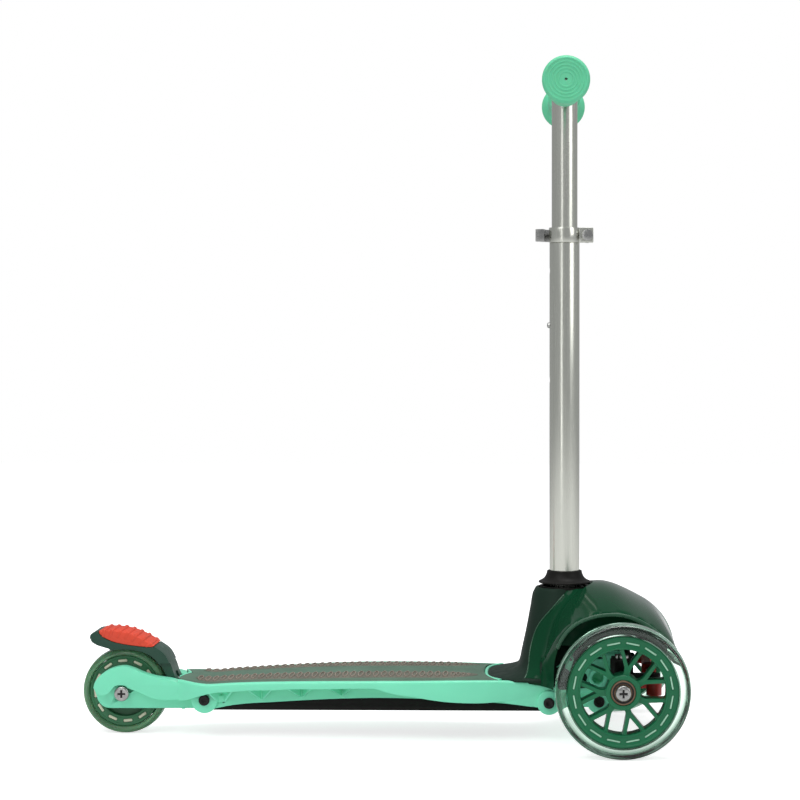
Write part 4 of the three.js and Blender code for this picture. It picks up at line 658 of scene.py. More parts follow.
def front_wheels():
    """Both front wheels: the right one is modelled and mirrored."""
    bolt, recess = axle_bolt(FRONT, "")
    parts = (
        ("tyre", tyre("tyre", FRONT), clear, "clear_tyre", "wheel", ("wheel_tyre",) * 2),
        ("core", front_core("core"), core_green, "wheel_green", "wheel", ("wheel_core",) * 2),
        ("anchors", anchors("anchors", FRONT), anchor, "clear_tyre", "wheel", None),
        ("outside_bearing", bearing("bearing", FRONT, -1), race, "plain_steel", "wheel",
         ("wheel_bearing_right", "wheel_bearing_left")),
        ("outside_seal", seal("seal", FRONT, -1), seal_rubber_and_recess_shade, "plain_steel", "wheel", None),
        ("inside_seal", seal("seal", FRONT, 1), seal_rubber_and_recess_shade, "plain_steel", "wheel", None),
        ("inside_bearing", bearing("bearing", FRONT, 1), race, "plain_steel", "wheel",
         ("wheel_bearing_left", "wheel_bearing_right")),
        ("bolt", bolt, zinc, "bright_zinc", "knuckle", ("axle_bolt",) * 2),
        # painted shade: the dark insert in the bolt's recess
        ("painted_recess_shade", recess, seal_rubber_and_recess_shade, "bright_zinc", "knuckle", None),
    )
    for part, piece, finish, slot, kind, stands in parts:
        twin = other_side(piece, "front_left_" + part)
        piece.name = piece.data.name = "front_right_" + part
        bodies = ("wheel_fr", "wheel_fl") if kind == "wheel" else ("knuckle_r", "knuckle_l")
        for obj, label, body, node in zip((piece, twin), ("right", "left"), bodies, stands or (None, None)):
            dressed(obj, finish, slot, body, *([f"front_{label}_{node}"] if node else []))


def rear_wheel():
    """The rear wheel with its bolt."""
    bolt, recess = axle_bolt(REAR, "rear_")
    dressed(bolt, zinc, "bright_zinc", "deck", "rear_axle_bolt")
    # painted shade: the dark insert in the rear bolt's recess
    dressed(recess, seal_rubber_and_recess_shade, "bright_zinc", "deck")
    dressed(tyre("rear_tyre", REAR), cast_green, "green_tyre", "wheel_r", "rear_wheel_tyre")
    dressed(rear_core("rear_core"), rear_green, "wheel_green", "wheel_r", "rear_wheel_core")
    dressed(anchors("rear_anchors", REAR), cream, "green_tyre", "wheel_r")
    for side, label in ((-1, "right"), (1, "left")):
        piece = bearing(f"rear_{label}_bearing", REAR, side)
        dressed(piece, race, "plain_steel", "wheel_r", f"rear_wheel_bearing_{label}")
        dressed(seal(f"rear_{label}_seal", REAR, side), seal_rubber_and_recess_shade, "plain_steel", "wheel_r")


# Steering tube, handlebar and clamp

STEER = 170.2
BAR_Z = 597
DETENT_Z = 381.5
# Place along X, height and outer face of each pair of lugs
LUGS = {"beam": (-161.8, 36.3, 37.3), "carrier_rear": (155.6, 37.5, 54.156), "carrier_front": (201.2, 38.9, 54.156)}


def steering_tubes():
    """The slit outer tube, the inner tube and the snap button, with the detent holes."""
    wall = [(12.4, 66), (12.7, 65.9), (14, 66.4), (14, 458.1), (13.7, 458.4), (13, 458.4), (13, 469.7), (12.7, 470),
            (12.4, 469.7)]
    outer = turned("outer_tube", wall, (STEER, 0, 0), "Z")
    cut(outer, block("slit", (STEER, -0.8, 444), (STEER + 19, 0.8, 475)))
    for z in (DETENT_Z - 51, DETENT_Z, DETENT_Z + 51):
        cut(outer, rod("hole", 3, (STEER - 19, 0, z), (STEER - 7, 0, z)))
    dressed(smoothed(softened(outer, 0.15)), tube_metal, "tube_aluminium", "tbar", "outer_steering_tube")

    inner = turned("inner_tube", [(10.6, 215), (12, 215), (12, BAR_Z), (10.6, BAR_Z)], (STEER, 0, 0), "Z")
    cut(inner, rod("saddle", 11.2, (STEER, -24, BAR_Z), (STEER, 24, BAR_Z), 96))
    cut(inner, rod("hole", 3, (STEER - 17, 0, DETENT_Z), (STEER - 6, 0, DETENT_Z)))
    dressed(smoothed(inner), tube_metal, "tube_aluminium", "handlebar", "inner_height_tube")

    button = [(0, -16.4), (1.5, -16.2), (2.4, -15.6), (2.7, -14.8), (2.7, -9.5), (4, -9.4), (4, -8.5), (0, -8.5)]
    made = turned("snap_button", button, (STEER, 0, DETENT_Z), "X", steps=48, closed=False)
    dressed(smoothed(made), zinc, "bright_zinc", "snap", "snap_button")


def handlebar():
    """The crossbar and its grips with ringed ends."""
    ends = [(0, -117), (10.6, -117), (11, -116.6), (11, 116.6), (10.6, 117), (0, 117)]
    crossbar = turned("handlebar_tube", ends, (STEER, 0, BAR_Z), closed=False)
    dressed(smoothed(crossbar), bar_metal, "tube_aluminium", "handlebar", "crossbar")

    profile = [(11.3, -35), (14.6, -35), (15.2, -35.6), (15.2, -108.2), (15.6, -109.6), (17.2, -113), (20.4, -116.1),
               (21.2, -117), (21.2, -121.5), (20.7, -123), (19.6, -124.2)]
    for ring in (18.6, 15.6, 12.6, 9.6, 6.6):
        profile += [(ring + 0.75, -124.6), (ring + 0.5, -125), (ring - 0.5, -125), (ring - 0.75, -124.6)]
    profile += [(1.6, -124.6), (1.25, -124.3), (1.25, -120), (11.3, -120)]
    right = smoothed(turned("right_handle", profile, (STEER, 0, BAR_Z), steps=112), math.radians(24))
    left = other_side(right, "left_handle")
    dressed(right, grip_rubber, "grip_rubber", "handlebar", "right_grip")
    dressed(left, grip_rubber, "grip_rubber", "handlebar", "left_grip")


def collar():
    rows = [(0.667, 1), (0.7, 0.72), (0.77, 0.44), (0.88, 0.25), (0.985, 0.14), (1, 0.05), (0.97, 0)]
    outline = [(24.15 * r, 141.3 + 11.3 * h) for r, h in curved(rows, 4)]
    profile = [(14.3, 152.6), (15.2, 152.9)] + outline + [(14.3, 143.2)]
    dressed(smoothed(turned("tube_collar", profile, (STEER, 0, 0), "Z")), black, "black_plastic", "tbar",
            "stem_collar")


def lug_screws():
    """The black socket screws of the lugs, three on each side."""
    for lug, (x, z, seat) in LUGS.items():
        node = lug + "_screw"
        right = smoothed(softened(hex_head((x, -seat - 0.3, z)), 0.2))
        left = other_side(right, node + "_far")
        right.name = right.data.name = node + "_near"
        dressed(right, black_steel, "black_steel", "deck", node + "_right")
        dressed(left, black_steel, "black_steel", "deck", node + "_left")


# Deck. Lengths run from its rear to its front, and each side is drawn on the rider's right and mirrored

DECK = {"rear": -187, "length": 395, "half": 62, "rim": 57.9, "lip": 4.5, "recess": 2, "plate": 3.5, "skirt": 3}
# Station, half width and rim height, as shares
DECK_SHARES = [
    (0, 0.54, 0.937), (0.022, 0.62, 0.926), (0.046, 0.7, 0.909), (0.072, 0.745, 0.898), (0.112, 0.775, 0.917),
    (0.152, 0.795, 0.934), (0.231, 0.86, 0.96), (0.31, 0.93, 0.979), (0.408, 0.99, 0.995), (0.463, 1, 0.998),
    (0.492, 1, 1), (0.54, 0.992, 1), (0.595, 0.968, 1), (0.676, 0.912, 0.998), (0.757, 0.85, 0.99),
    (0.805, 0.838, 0.984), (0.871, 0.838, 0.984), (0.93, 0.838, 0.94), (1, 0.838, 0.87),
]
# Lower edges as place along X and height
FLANGE_LINE = [
    (-187, 34.7), (-178, 36), (-169, 39.4), (-158.6, 42.6), (-148.5, 44.5), (-134.4, 45.5), (-117.5, 47),
    (-97.9, 47.7), (-79.6, 49.2), (-57.1, 49.7), (-40.3, 50.3), (-26.2, 50.7), (-3.8, 51), (6, 48.1), (20, 44.9),
    (34, 43), (48.1, 40.5), (62.1, 38.5), (76.1, 37.4), (90.1, 36.9), (104.1, 37.4), (118.1, 38.7), (132, 40.8),
    (143.2, 43.4), (154.4, 46.6), (168, 47.5), (185, 46), (208, 44.5),
]
RAIL_LINE = [
    (-171, 26.4), (-154.3, 27.6), (-137.9, 30.8), (-120.8, 32.7), (-99.5, 33.9), (-71, 35.7), (-42.6, 37.1),
    (0, 38.1), (60, 36.6), (117.7, 33.1), (131.8, 31.3), (146, 29.7),
]
RAIL = {"inner": 30.3, "outer": 33.9, "rear": -171, "front": 139}
TONGUE = {"middle": 153.5, "reach": 54.5, "half": 55, "power": 3}
MAT = {"rear": -186.2, "front": 116, "crown": 2.1, "gap": 0.3, "notch_tip": -178}
known_places = {}


def height_at(line, x):
    """The height of a line at a place along X, level past its ends."""
    return eased(line, min(max(x, line[0][0]), line[-1][0]))[0]


def deck_at(x):
    """Half width and rim height of the deck at a place along X."""
    key = round(x, 3)
    if key not in known_places:
        share = min(max((x - DECK["rear"]) / DECK["length"], 0), 1)
        half, rim = eased(DECK_SHARES, share)
        known_places[key] = (half * DECK["half"], rim * DECK["rim"])
    return known_places[key]


def both_sides(x, side):
    """A closed ring across the deck from the points of one side."""
    return [(x, y, z) for y, z in side] + [(x, -y, z) for y, z in reversed(side)]


def stations(low, high, step):
    """Even places from low to high, about a step apart."""
    count = max(round((high - low) / step), 1)
    return [low + (high - low) * i / count for i in range(count + 1)]


def deck_shell():
    """The plate with its raised rim and the flange that hangs from it."""
    rings = []
    for x in stations(DECK["rear"], DECK["rear"] + DECK["length"], 4):
        half, rim = deck_at(x)
        low = height_at(FLANGE_LINE, x)
        inside = half - DECK["skirt"]
        side = [(inside, rim - DECK["recess"] - DECK["plate"]), (inside, low + 0.6), (inside + 0.6, low),
                (half - 0.9, low), (half - 0.2, low + 0.3), (half, low + 1), (half, (low + rim) / 2)]
        for step in range(6):
            turn = math.radians(18 * step)
            side.append((half - 2.8 * (1 - math.cos(turn)), rim - 2.2 * (1 - math.sin(turn))))
        lip = half - DECK["lip"]
        side += [(half - 3.9, rim - 0.05), (lip, rim - 0.6), (lip, rim - DECK["recess"])]
        rings.append(both_sides(x, side))
    return lofted("deck_shell", rings)


def deck_rail():
    """The lengthwise wall under the plate that the ribs lean on."""
    inner, outer = RAIL["inner"], RAIL["outer"]
    rings = []
    for x in stations(RAIL["rear"], RAIL["front"], 6):
        low, top = height_at(RAIL_LINE, x), deck_at(x)[1] - 3.7
        side = [(inner, top), (inner, low), (outer - 0.5, low), (outer, low + 0.5), (outer, top)]
        rings.append([(x, -y, z) for y, z in side])
    return lofted("rail", rings)


def rib_legs():
    """Pairs of thin legs that spread from a point on the rail to the flange's lower edge."""
    legs = []
    for point in (-146, -109.3, -72.2, -35):
        for way in (-1, 1):
            rings = []
            for share in (0, 0.5, 1):
                x = point + way * (0.9 + 10.2 * share)
                half, rim = deck_at(x)
                y = -(RAIL["outer"] - 0.8 + (half - 2.2 - RAIL["outer"] + 0.8) * share)
                rail, flange = height_at(RAIL_LINE, x) + 2.6, height_at(FLANGE_LINE, x) + 0.5
                low = rail + (flange - rail) * share
                rings.append([(x - 0.9, y, low), (x + 0.9, y, low), (x + 0.9, y, rim - 3.6), (x - 0.9, y, rim - 3.6)])
            legs.append(lofted("rib_leg", rings))
    return legs


FORK_TOP = [(-266.3, 45.5), (-264.5, 51.5), (-259.5, 57.5), (-252, 62.4), (-243, 65.1), (-236, 65.1), (-229, 63),
            (-221.2, 59.5), (-209.7, 56.1), (-194.4, 53.6), (-186, 51.6), (-166.3, 50.5)]
FORK_BAND = [
    (-166.3, 41), (-170.7, 39.2), (-180.4, 37.6), (-186, 35.9), (-193.6, 35.4), (-201.3, 35.3), (-209.1, 36.1),
    (-216.8, 38.4), (-224.5, 41.8), (-230.7, 44.1), (-235.4, 46), (-240, 47.6), (-243.9, 47.9), (-247, 46.8),
    (-249.3, 44), (-252.4, 40.6), (-256.3, 38.8), (-260.2, 38.8), (-263.3, 40.5), (-265.2, 44),
]
FORK_WEB = [(-166.3, 25.4), (-200, 25.3), (-240, 25.2), (-253.8, 25.3), (-257.7, 26.4), (-260.8, 28.8),
            (-263.1, 32.7), (-264.2, 37.3), (-265.5, 42)]
FORK = {"inner": 16, "web": 24.5, "band": 28.6, "axle": (-240.3, 40), "pin": (-193.5, 47.5)}


def fork_arm():
    """A web with a raised band round its top, both with rounded edges."""
    top = curved(FORK_TOP, 5)
    web = slab("fork_web", curved(FORK_WEB, 3) + top[1:-1] + [FORK_TOP[-1]], -FORK["web"], -FORK["inner"])
    softened(web, 0.9, 3)
    for vertex in web.data.vertices:
        share = min(max((38.5 - vertex.co.z / MM) / 13, 0), 1)
        if vertex.co.y < -20 * MM:
            vertex.co.y += 5.4 * share**1.2 * MM
    raised = slab("fork_band", top + curved(FORK_BAND, 4), -FORK["band"], -FORK["web"] + 1.5)
    x, z = FORK["axle"]
    cut(raised, rod("hook", 8.2, (x, -40, z), (x, -15, z), 64))
    softened(raised, 1.3, 3)
    for vertex in raised.data.vertices:
        share = min(max((vertex.co.x / MM + 226) / 38, 0), 1)
        if vertex.co.y < -26 * MM:
            vertex.co.y -= 5.6 * share**2 * (3 - 2 * share) * MM
    for low in (36.4, 33.2):
        cut(web, block("groove", (-213, -FORK["web"] - 1, low - 0.35), (-174, -FORK["web"] + 0.45, low + 0.35)))
    cut(web, turned("ring", [(5.2, -26), (8.2, -26), (8.2, -22.6), (5.2, -22.6)], (x, 0, z), steps=64))
    arm = fused(web, raised, rod("axle_boss", 6, (x, -17, z), (x, -12.3, z)))
    pin_x, pin_z = FORK["pin"]
    return cut(arm, rod("axle_bore", 4, (x, -40, z), (x, -8, z)),
               rod("pin_bore", 2.8, (pin_x, -21.5, pin_z), (pin_x, -9, pin_z)))


def oval(turn, grow):
    """A point on the squarish oval round the cowl's tongue, grown outwards."""
    c, s = math.cos(turn), math.sin(turn)
    share = 2 / TONGUE["power"]
    return (TONGUE["middle"] + math.copysign(abs(c) ** share, c) * (TONGUE["reach"] + grow),
            math.copysign(abs(s) ** share, s) * (TONGUE["half"] + grow))


def tongue_line():
    """The raised line on the deck round the front of the mat."""
    rings = []
    for turn in stations(math.radians(100), math.radians(260), math.radians(1.6)):
        x, y = oval(turn, 3.3)
        half, rim = deck_at(x)
        if x > MAT["front"] or abs(y) > half - DECK["lip"] + 0.8:
            continue
        low, top = rim - 3, rim + 0.9
        section = ((0.3, low), (0.3, top - 0.5), (0.7, top), (2.7, top), (3.3, top - 0.6), (3.3, low))
        rings.append([(*oval(turn, grow), height) for grow, height in section])
    return lofted("tongue_line", rings)


def notch_line():
    """The small V that the deck raises behind the mat."""
    rim = deck_at(-184)[1]
    outline = [(-187, -24), (-179.2, -0.6), (-179.2, 0.6), (-187, 24), (-187, 19), (-181.6, 0.6), (-181.6, -0.6),
               (-187, -19)]
    return softened(slab("notch_line", outline, rim - 3, rim + 2.2, "Z"), 0.5)


def deck_frame():
    """The deck's moulding: plate, rails, ribs, fork arms and lugs, less the cowl's opening and the screw bores."""
    lugs = []
    for lug, radius, near, far in (("beam", 12.4, -37.3, -30.3), ("carrier_rear", 11.1, -54.16, -48.96),
                                   ("carrier_front", 11.1, -54.16, -48.96)):
        x, z, _ = LUGS[lug]
        lugs.append(softened(rod("lug", radius, (x, near, z), (x, far, z), 72), 0.9, 3))
    boss = softened(block("boss", (-152.7, -36, 34.2), (-141.4, -32, 40.6)), 1.2, 3)
    strip = [(104, 40), (112, 37.6), (118, 36.2), (132, 34.5), (146, 32.8), (158, 33), (160, 48), (150, 48.5),
             (140, 45.5), (128, 43), (112, 41)]
    front = softened(slab("front_strip", strip, -51.8, -48.4), 0.5)
    wall = block("tie_wall", (-170.4, -33.9, 26.4), (-167.4, -0.5, 49.6))
    side = [deck_rail(), fork_arm(), gathered("lugs", lugs), boss, front, gathered("legs", rib_legs()), wall]
    far = [other_side(piece, "far") for piece in side]
    heel = block("heel", (-186, -18, 24.6), (-183, 18, 49.8))
    frame_piece = fused(deck_shell(), *side, *far, heel, tongue_line(), notch_line())
    cut(frame_piece, block("opening", (139, -49.26, 0), (209, 49.26, 113)))
    bores = []
    for (x, z, _), low in zip(LUGS.values(), (23, 40, 40)):
        for way in (-1, 1):
            bores.append(rod("bore", 3.3, (x, way * low, z), (x, way * 58, z), 32))
    cut(frame_piece, gathered("bores", bores))
    frame_piece.name = frame_piece.data.name = "deck_moulding"
    return smoothed(frame_piece, math.radians(30))


FENDER_TOP = [
    (-271.5, 96.3), (-270.6, 99.4), (-267, 101.6), (-260, 102.3), (-252, 102.3), (-243, 101.6), (-232.3, 98.9),
    (-221.9, 94.3), (-211.6, 86.6), (-202.6, 76.8), (-196.4, 65.1), (-192.9, 55.1), (-188.9, 48.5),
]
FENDER_LOW = [(-254, 83.6), (-258, 85.4), (-264.3, 88.3), (-269.6, 92.2)]
PAD_BED = [(-264.2, 103), (-262.6, 99.6), (-258.8, 96.4), (-252.6, 93.2), (-246.3, 91), (-235.5, 88.4),
           (-223.8, 86.4), (-217, 85.6), (-213.4, 85.6), (-210.6, 87.4)]
BRAKE = {"half": 19, "foot": 15.4, "foot_top": 67, "arc": 42.5}


def bowed(obj):
    """Lets the upper part of the fender or pad fall away towards both sides, and keeps it off the tyre."""
    axle_x, axle_z = mm(FORK["axle"])
    arc = BRAKE["arc"] * MM
    for vertex in obj.data.vertices:
        across = vertex.co.y / MM / BRAKE["half"]
        share = min(max((vertex.co.z / MM - 72) / 22, 0), 1)
        vertex.co.z -= (2.4 + 3.2 * across**2) * share**2 * (3 - 2 * share) * MM
        ahead, up = vertex.co.x - axle_x, vertex.co.z - axle_z
        reach = math.hypot(ahead, up)
        if reach < arc and abs(vertex.co.y) < (BRAKE["half"] - 1) * MM:
            vertex.co.x, vertex.co.z = axle_x + ahead * (arc / reach), axle_z + up * (arc / reach)
    return obj


def bow_of(middle, radius, degrees):
    """Points on an arc about a middle."""
    turns = [math.radians(angle) for angle in degrees]
    return [(middle[0] + radius * math.cos(turn), middle[1] + radius * math.sin(turn)) for turn in turns]


def fender_outline():
    """The fender from its top round its foot and along the arc over the tyre."""
    foot = bow_of(FORK["pin"], 5, range(360, 220, -15))
    arc = bow_of(FORK["axle"], BRAKE["arc"], stations(8, 106, 3))
    return curved(FENDER_TOP, 5) + foot + arc + curved(FENDER_LOW, 4)


def fender():
    """The curved brake lever over the rear wheel, with a narrow foot on the brake's pin."""
    piece = slab("brake_arm", fender_outline(), -BRAKE["half"], BRAKE["half"])
    bed = [(-264.2, 120)] + curved(PAD_BED, 4) + [(-210.6, 120)]
    cut(piece, slab("bed", bed, -30, 30))
    softened(piece, 1.5, 4, 50)
    x, z = FORK["pin"]
    for low, high in ((-30, -BRAKE["foot"]), (BRAKE["foot"], 30)):
        cut(piece, block("beside", (-206, low, 30), (-180, high, BRAKE["foot_top"])))
    cut(piece, block("slot", (x - 10, -4.6, z - 10), (x + 10, 4.6, z + 10)),
        rod("bore", 2.8, (x, -19, z), (x, 19, z), 32))
    return smoothed(bowed(piece), math.radians(40))


def pad():
    """The rubber pad: a domed body with seven ridges that run over it and down its sides."""
    top = [(-263.2, 102.4), (-258, 102.7), (-252, 102.6), (-243, 101.9), (-232.3, 99.2), (-221.9, 94.6), (-215, 90.2),
           (-211.4, 87.6)]
    bed = [(x, z + 0.3) for x, z in PAD_BED[1:-1]]
    body = slab("pad_body", curved(top, 5) + curved(bed[::-1], 4), -18.6, 18.6)
    softened(body, 1.6, 4, 50)
    ridges = []
    for place in (-257.8, -250.8, -243.3, -236, -228.8, -221.8, -214.8):
        low, middle, high = (height_at(top, place + step) for step in (-0.5, 0, 0.5))
        slope = math.atan(high - low)
        ridge = block("ridge", (place - 1.7, -18.9, middle - 6.5), (place + 1.7, 18.9, middle + 1.1))
        softened(ridge, 1.1, 3)
        ridges.append(wheeled(ridge, slope - 0.25, (place, 0, middle)))
    grown = [(x, z + 1.2) for x, z in top]
    limit = slab("limit", curved(grown, 5) + curved(bed[::-1], 4), -18.95, 18.95)
    whole = fused(body, kept(gathered("ridges", ridges), limit))
    whole.name = whole.data.name = "ribbed_pad"
    for vertex in whole.data.vertices:
        if vertex.co.z / MM < 84.2:
            vertex.co.z = 84.2 * MM
    return smoothed(bowed(whole), math.radians(40))


def mat_top(x, y):
    half, rim = deck_at(x)
    share = min(abs(y) / (half - DECK["lip"] - MAT["gap"]), 1)
    return rim + MAT["crown"] * (1 - share**2.4) ** 0.8


def deck_mat():
    """A crowned mat with a fine groove along each side, cut to the lines that frame it."""
    rings = []
    for x in stations(MAT["rear"], MAT["front"], 4):
        half, rim = deck_at(x)
        half -= DECK["lip"] + MAT["gap"]
        side = [(half, rim - 1.7), (half, rim - 0.3), (half - 0.4, rim + 0.05)]
        for share in (0.965, 0.945, 0.938, 0.925, 0.918, 0.88, 0.82, 0.74, 0.64, 0.52, 0.38, 0.22, 0.07):
            sunk = 0.5 if share in (0.938, 0.925) else 0
            side.append((half * share, mat_top(x, half * share) - sunk))
        rings.append(both_sides(x, side))
    mat = lofted("deck_mat_sheet", rings)
    turns = stations(math.radians(90), math.radians(270), math.radians(2.5))
    cut(mat, slab("front_cut", [oval(turn, 3.6) for turn in turns], 40, 70, "Z"))
    notch = [(-190, -22), (MAT["notch_tip"], 0), (-190, 22)]
    cut(mat, slab("notch", notch, 40, 70, "Z"))
    return smoothed(mat, math.radians(28))


def loop_place(x):
    """Middle and half length across the deck of the raised loops at a place along X."""
    half = deck_at(x)[0]
    return min(32, half * 0.54), min(11.5, (half - 14) * 0.26)


def loop_strip(name, side):
    """The low raised strip that a row of loops stands on."""
    rings = []
    for x in stations(-172, 90, 4):
        middle, long = loop_place(x)
        fade = min((90 - x) / 24, (x + 172) / 12, 1) ** 0.5
        ring = []
        for share, rise in ((-1.1, -0.6), (-1.1, 0.1), (-1.04, 0.3), (-0.5, 0.45), (0, 0.45), (0.5, 0.45),
                            (1.04, 0.3), (1.1, 0.1), (1.1, -0.6)):
            y = middle + share * (long + 1.2) * max(fade, 0.1)
            ring.append((x, side * y, mat_top(x, y) + rise))
        rings.append(ring)
    return smoothed(lofted(name, rings), math.radians(50))


def mat_loops(name, side):
    """A row of raised loops along one half of the mat, smaller towards the front."""
    bpy.ops.object.select_all(action="DESELECT")
    bpy.ops.mesh.primitive_torus_add(major_segments=18, minor_segments=6, major_radius=1, minor_radius=0.25)
    first = started("loop")
    shape = [tuple(vertex.co) for vertex in first.data.vertices]
    places = []
    x = -167
    while x < 86:
        places.append(x)
        x += 7.1 if x < 62 else 4.8
    loops = [first] + [copied(first, "loop") for _ in places[1:]]
    for loop, place in zip(loops, places):
        middle, long = loop_place(place)
        wide, high = 2.1, 4.6
        if place > 62:
            fade = (88 - place) / 26
            long, wide, high = long * fade, 0.9 + 1.2 * fade, 2.6 + 2 * fade
        for vertex, (u, v, w) in zip(loop.data.vertices, shape):
            reach = math.hypot(u, v)
            out = (reach - 1) * 2.3
            px = place + u / reach * (wide + out)
            py = middle + v / reach * (long + out)
            vertex.co = mm((px, side * py, mat_top(px, py) + 0.4 + w * high))
    row = gathered(name, loops)
    if side < 0:
        tidied(row)
    return smoothed(row, math.radians(60))


# Cowl. The neck is drawn in rings from its top down, the shell over the wheels in rings from its rear to its nose

COWL = {"tongue": 57.4, "top": 137.6, "rear": 71.2, "front": 37.8, "half": 56, "wall": 3, "bottom": 51.1}
# Rise, reach to the rear, reach to the front, half width and squareness
NECK_SHARES = [
    (1, 0.382, 0.497, 0.429, 2), (0.93, 0.416, 0.55, 0.446, 2), (0.791, 0.444, 0.656, 0.5, 2.1),
    (0.652, 0.472, 0.762, 0.562, 2.2), (0.509, 0.503, 0.868, 0.634, 2.3), (0.37, 0.537, 0.921, 0.714, 2.4),
    (0.232, 0.57, 0.974, 0.812, 2.6), (0.161, 0.586, 1, 0.866, 2.7), (0.091, 0.625, 1, 0.929, 2.8),
    (0.043, 0.733, 1, 0.955, 3), (0.019, 0.888, 1, 0.973, 3), (0, 1, 1, 0.982, 3),
]
# middle is the height of the line that the shell is measured out from
HOOD = {"rear": 150, "length": 123.5, "half": 97, "ridge": 142.3, "middle": 60}
# Station, half width, ridge height, spread and fall of the flank
HOOD_SHARES = [
    (0, 0.588, 0.815, 1.1, 1.5), (0.057, 0.68, 0.864, 1.15, 1.4), (0.113, 0.825, 0.91, 1.2, 1.35),
    (0.178, 0.938, 0.949, 1.3, 1.3), (0.251, 0.985, 0.98, 1.45, 1.2), (0.34, 1, 1, 1.7, 1.1),
    (0.432, 1, 0.999, 1.9, 1), (0.529, 1, 0.98, 2, 1), (0.624, 1, 0.942, 2.1, 1), (0.721, 1, 0.896, 2.3, 1),
    (0.794, 0.995, 0.859, 2.6, 1), (0.852, 0.99, 0.817, 3.2, 1), (0.895, 0.985, 0.773, 4, 1),
    (0.931, 0.979, 0.724, 5, 1), (0.964, 0.969, 0.668, 6, 1), (0.986, 0.959, 0.59, 6, 1), (1, 0.948, 0.464, 6, 1),
]
ARCH = {"x": 220.3, "z": 60, "radius": 63.5, "inner": 58}
# Angle about the front axle and share of the arch's radius
ARCH_SHARES = [
    (0, 0.87), (34, 0.885), (48, 0.872), (60, 0.88), (75, 0.92), (91, 0.97), (104, 1), (116, 1.03), (129, 1.055),
    (142, 1.04), (160, 0.99), (180, 0.95),
]
# Where the shell's side turns inwards, as place along X and height
SHOULDER = [
    (150, 74), (155, 84), (160, 95), (167.5, 105.7), (176.4, 114.6), (189.8, 121.3), (204, 125), (218.7, 124.6),
    (236.5, 119), (249.9, 110.1), (261, 99.5), (268.6, 91), (273.5, 80),
]
CREASE = [(127, 40), (129.5, 54), (134.6, 62), (136.6, 70), (138.3, 84.4), (143.4, 100.8), (149.8, 111),
          (158.1, 120.4), (166, 129.5), (173.7, 137.6), (180, 146)]


def neck_at(z):
    """Rear, front, half width and squareness of the neck at a height."""
    key = ("neck", round(z, 2))
    if key not in known_places:
        rise = max((z - COWL["tongue"]) / (COWL["top"] - COWL["tongue"]), 0)
        rear, front, half, power = eased(NECK_SHARES, min(rise, 1))
        known_places[key] = (STEER - rear * COWL["rear"], STEER + front * COWL["front"], half * COWL["half"], power)
    return known_places[key]


def neck_ring(z, grow, section=None):
    """The neck's outline at a height, grown outwards."""
    rear, front, half, power = section or neck_at(z)
    ring = []
    for i in range(72):
        turn = TURN * i / 72
        c, s = math.cos(turn), math.sin(turn)
        x = (front + rear) / 2 + math.copysign(abs(c) ** (2 / power), c) * ((front - rear) / 2 + grow)
        y = math.copysign(abs(s) ** (2 / power), s) * (half + grow)
        ring.append((x, y, z))
    return ring


def deck_space():
    """The room that the deck takes, to fit the cowl over it."""
    rings = []
    for x in stations(90, DECK["rear"] + DECK["length"] + 1, 4):
        half, rim = deck_at(x)
        side = [(half + 0.3, 0), (half + 0.3, rim - 2.2), (half - 0.5, rim - 0.3), (half - 2.8, rim + 0.3),
                (half - 4.2, rim + 0.3), (half - 4.8, rim - 1.7)]
        rings.append(both_sides(x, side))
    return lofted("deck_space", rings)


def cowl_neck():
    """The neck with its tongue, hollow and open at the top."""
    top, wall = COWL["top"], COWL["wall"]
    heights = [COWL["tongue"] + 0.3 * i for i in range(8)] + [60 + 2.4 * i for i in range(32)]
    heights = sorted({round(min(z, top - 1.2), 3) for z in heights})
    low = (STEER - 0.63 * COWL["rear"], STEER + COWL["front"], COWL["half"], 3)
    rings = [neck_ring(COWL["bottom"], 0, section=low), neck_ring(55.4, 0, section=low), neck_ring(56, 0)]
    rings += [neck_ring(z, 0) for z in heights]
    rings += [neck_ring(top - 0.5, -0.15), neck_ring(top - 0.1, -0.5), neck_ring(top, -1), neck_ring(top, -2.6),
              neck_ring(top - 0.5, -wall)]
    rings += [neck_ring(z, -wall) for z in reversed(heights[10::2])]
    rings += [neck_ring(62, -wall), neck_ring(COWL["bottom"], -wall, section=low), rings[0]]
    neck = lofted("cowl_neck", rings, capped=False)
    cut(neck, deck_space(), skirt_space())
    return smoothed(neck, math.radians(30))


def skirt_space():
    """Trims the cowl's lower edge, which runs down towards the wheel."""
    outline = [(95, 30), (95, 56), (126, 56), (134, 54.8), (150, 53), (170, 51), (170, 30)]
    return slab("skirt_space", outline, -125, 125)


def hood_at(x):
    """Half width, ridge height, spread and fall of the hood and the height of its shoulder, or None behind it."""
    key = ("hood", round(x, 2))
    if key not in known_places:
        share = (x - HOOD["rear"]) / HOOD["length"]
        known_places[key] = None
        if share >= 0:
            half, ridge, spread, fall = eased(HOOD_SHARES, min(share, 1))
            ridge *= HOOD["ridge"]
            shoulder = min(height_at(SHOULDER, x), ridge - 1.5)
            known_places[key] = (half * HOOD["half"], ridge, spread, fall, shoulder)
    return known_places[key]


def in_neck(x, y, z):
    rear, front, half, power = neck_at(round(z, 1))
    share = abs(x - (rear + front) / 2) / ((front - rear) / 2)
    return z <= COWL["top"] and share < 1 and y <= half * (1 - share**power) ** (1 / power)


def in_hood(x, y, z):
    at = hood_at(x)
    if not at or y > at[0] or z > at[1]:
        return False
    half, ridge, spread, fall, edge = at
    return z <= edge + (ridge - edge) * (1 - (y / half) ** spread) ** fall


def reach_of(inside, x, turn):
    """How far a shape reaches from the middle line of the cowl in a direction across it."""
    low, high = 0, 130
    if not inside(x, 0, HOOD["middle"] + 0.01):
        return 0
    for _ in range(18):
        half = (low + high) / 2
        if inside(x, half * math.cos(turn), HOOD["middle"] + half * math.sin(turn)):
            low = half
        else:
            high = half
    return low


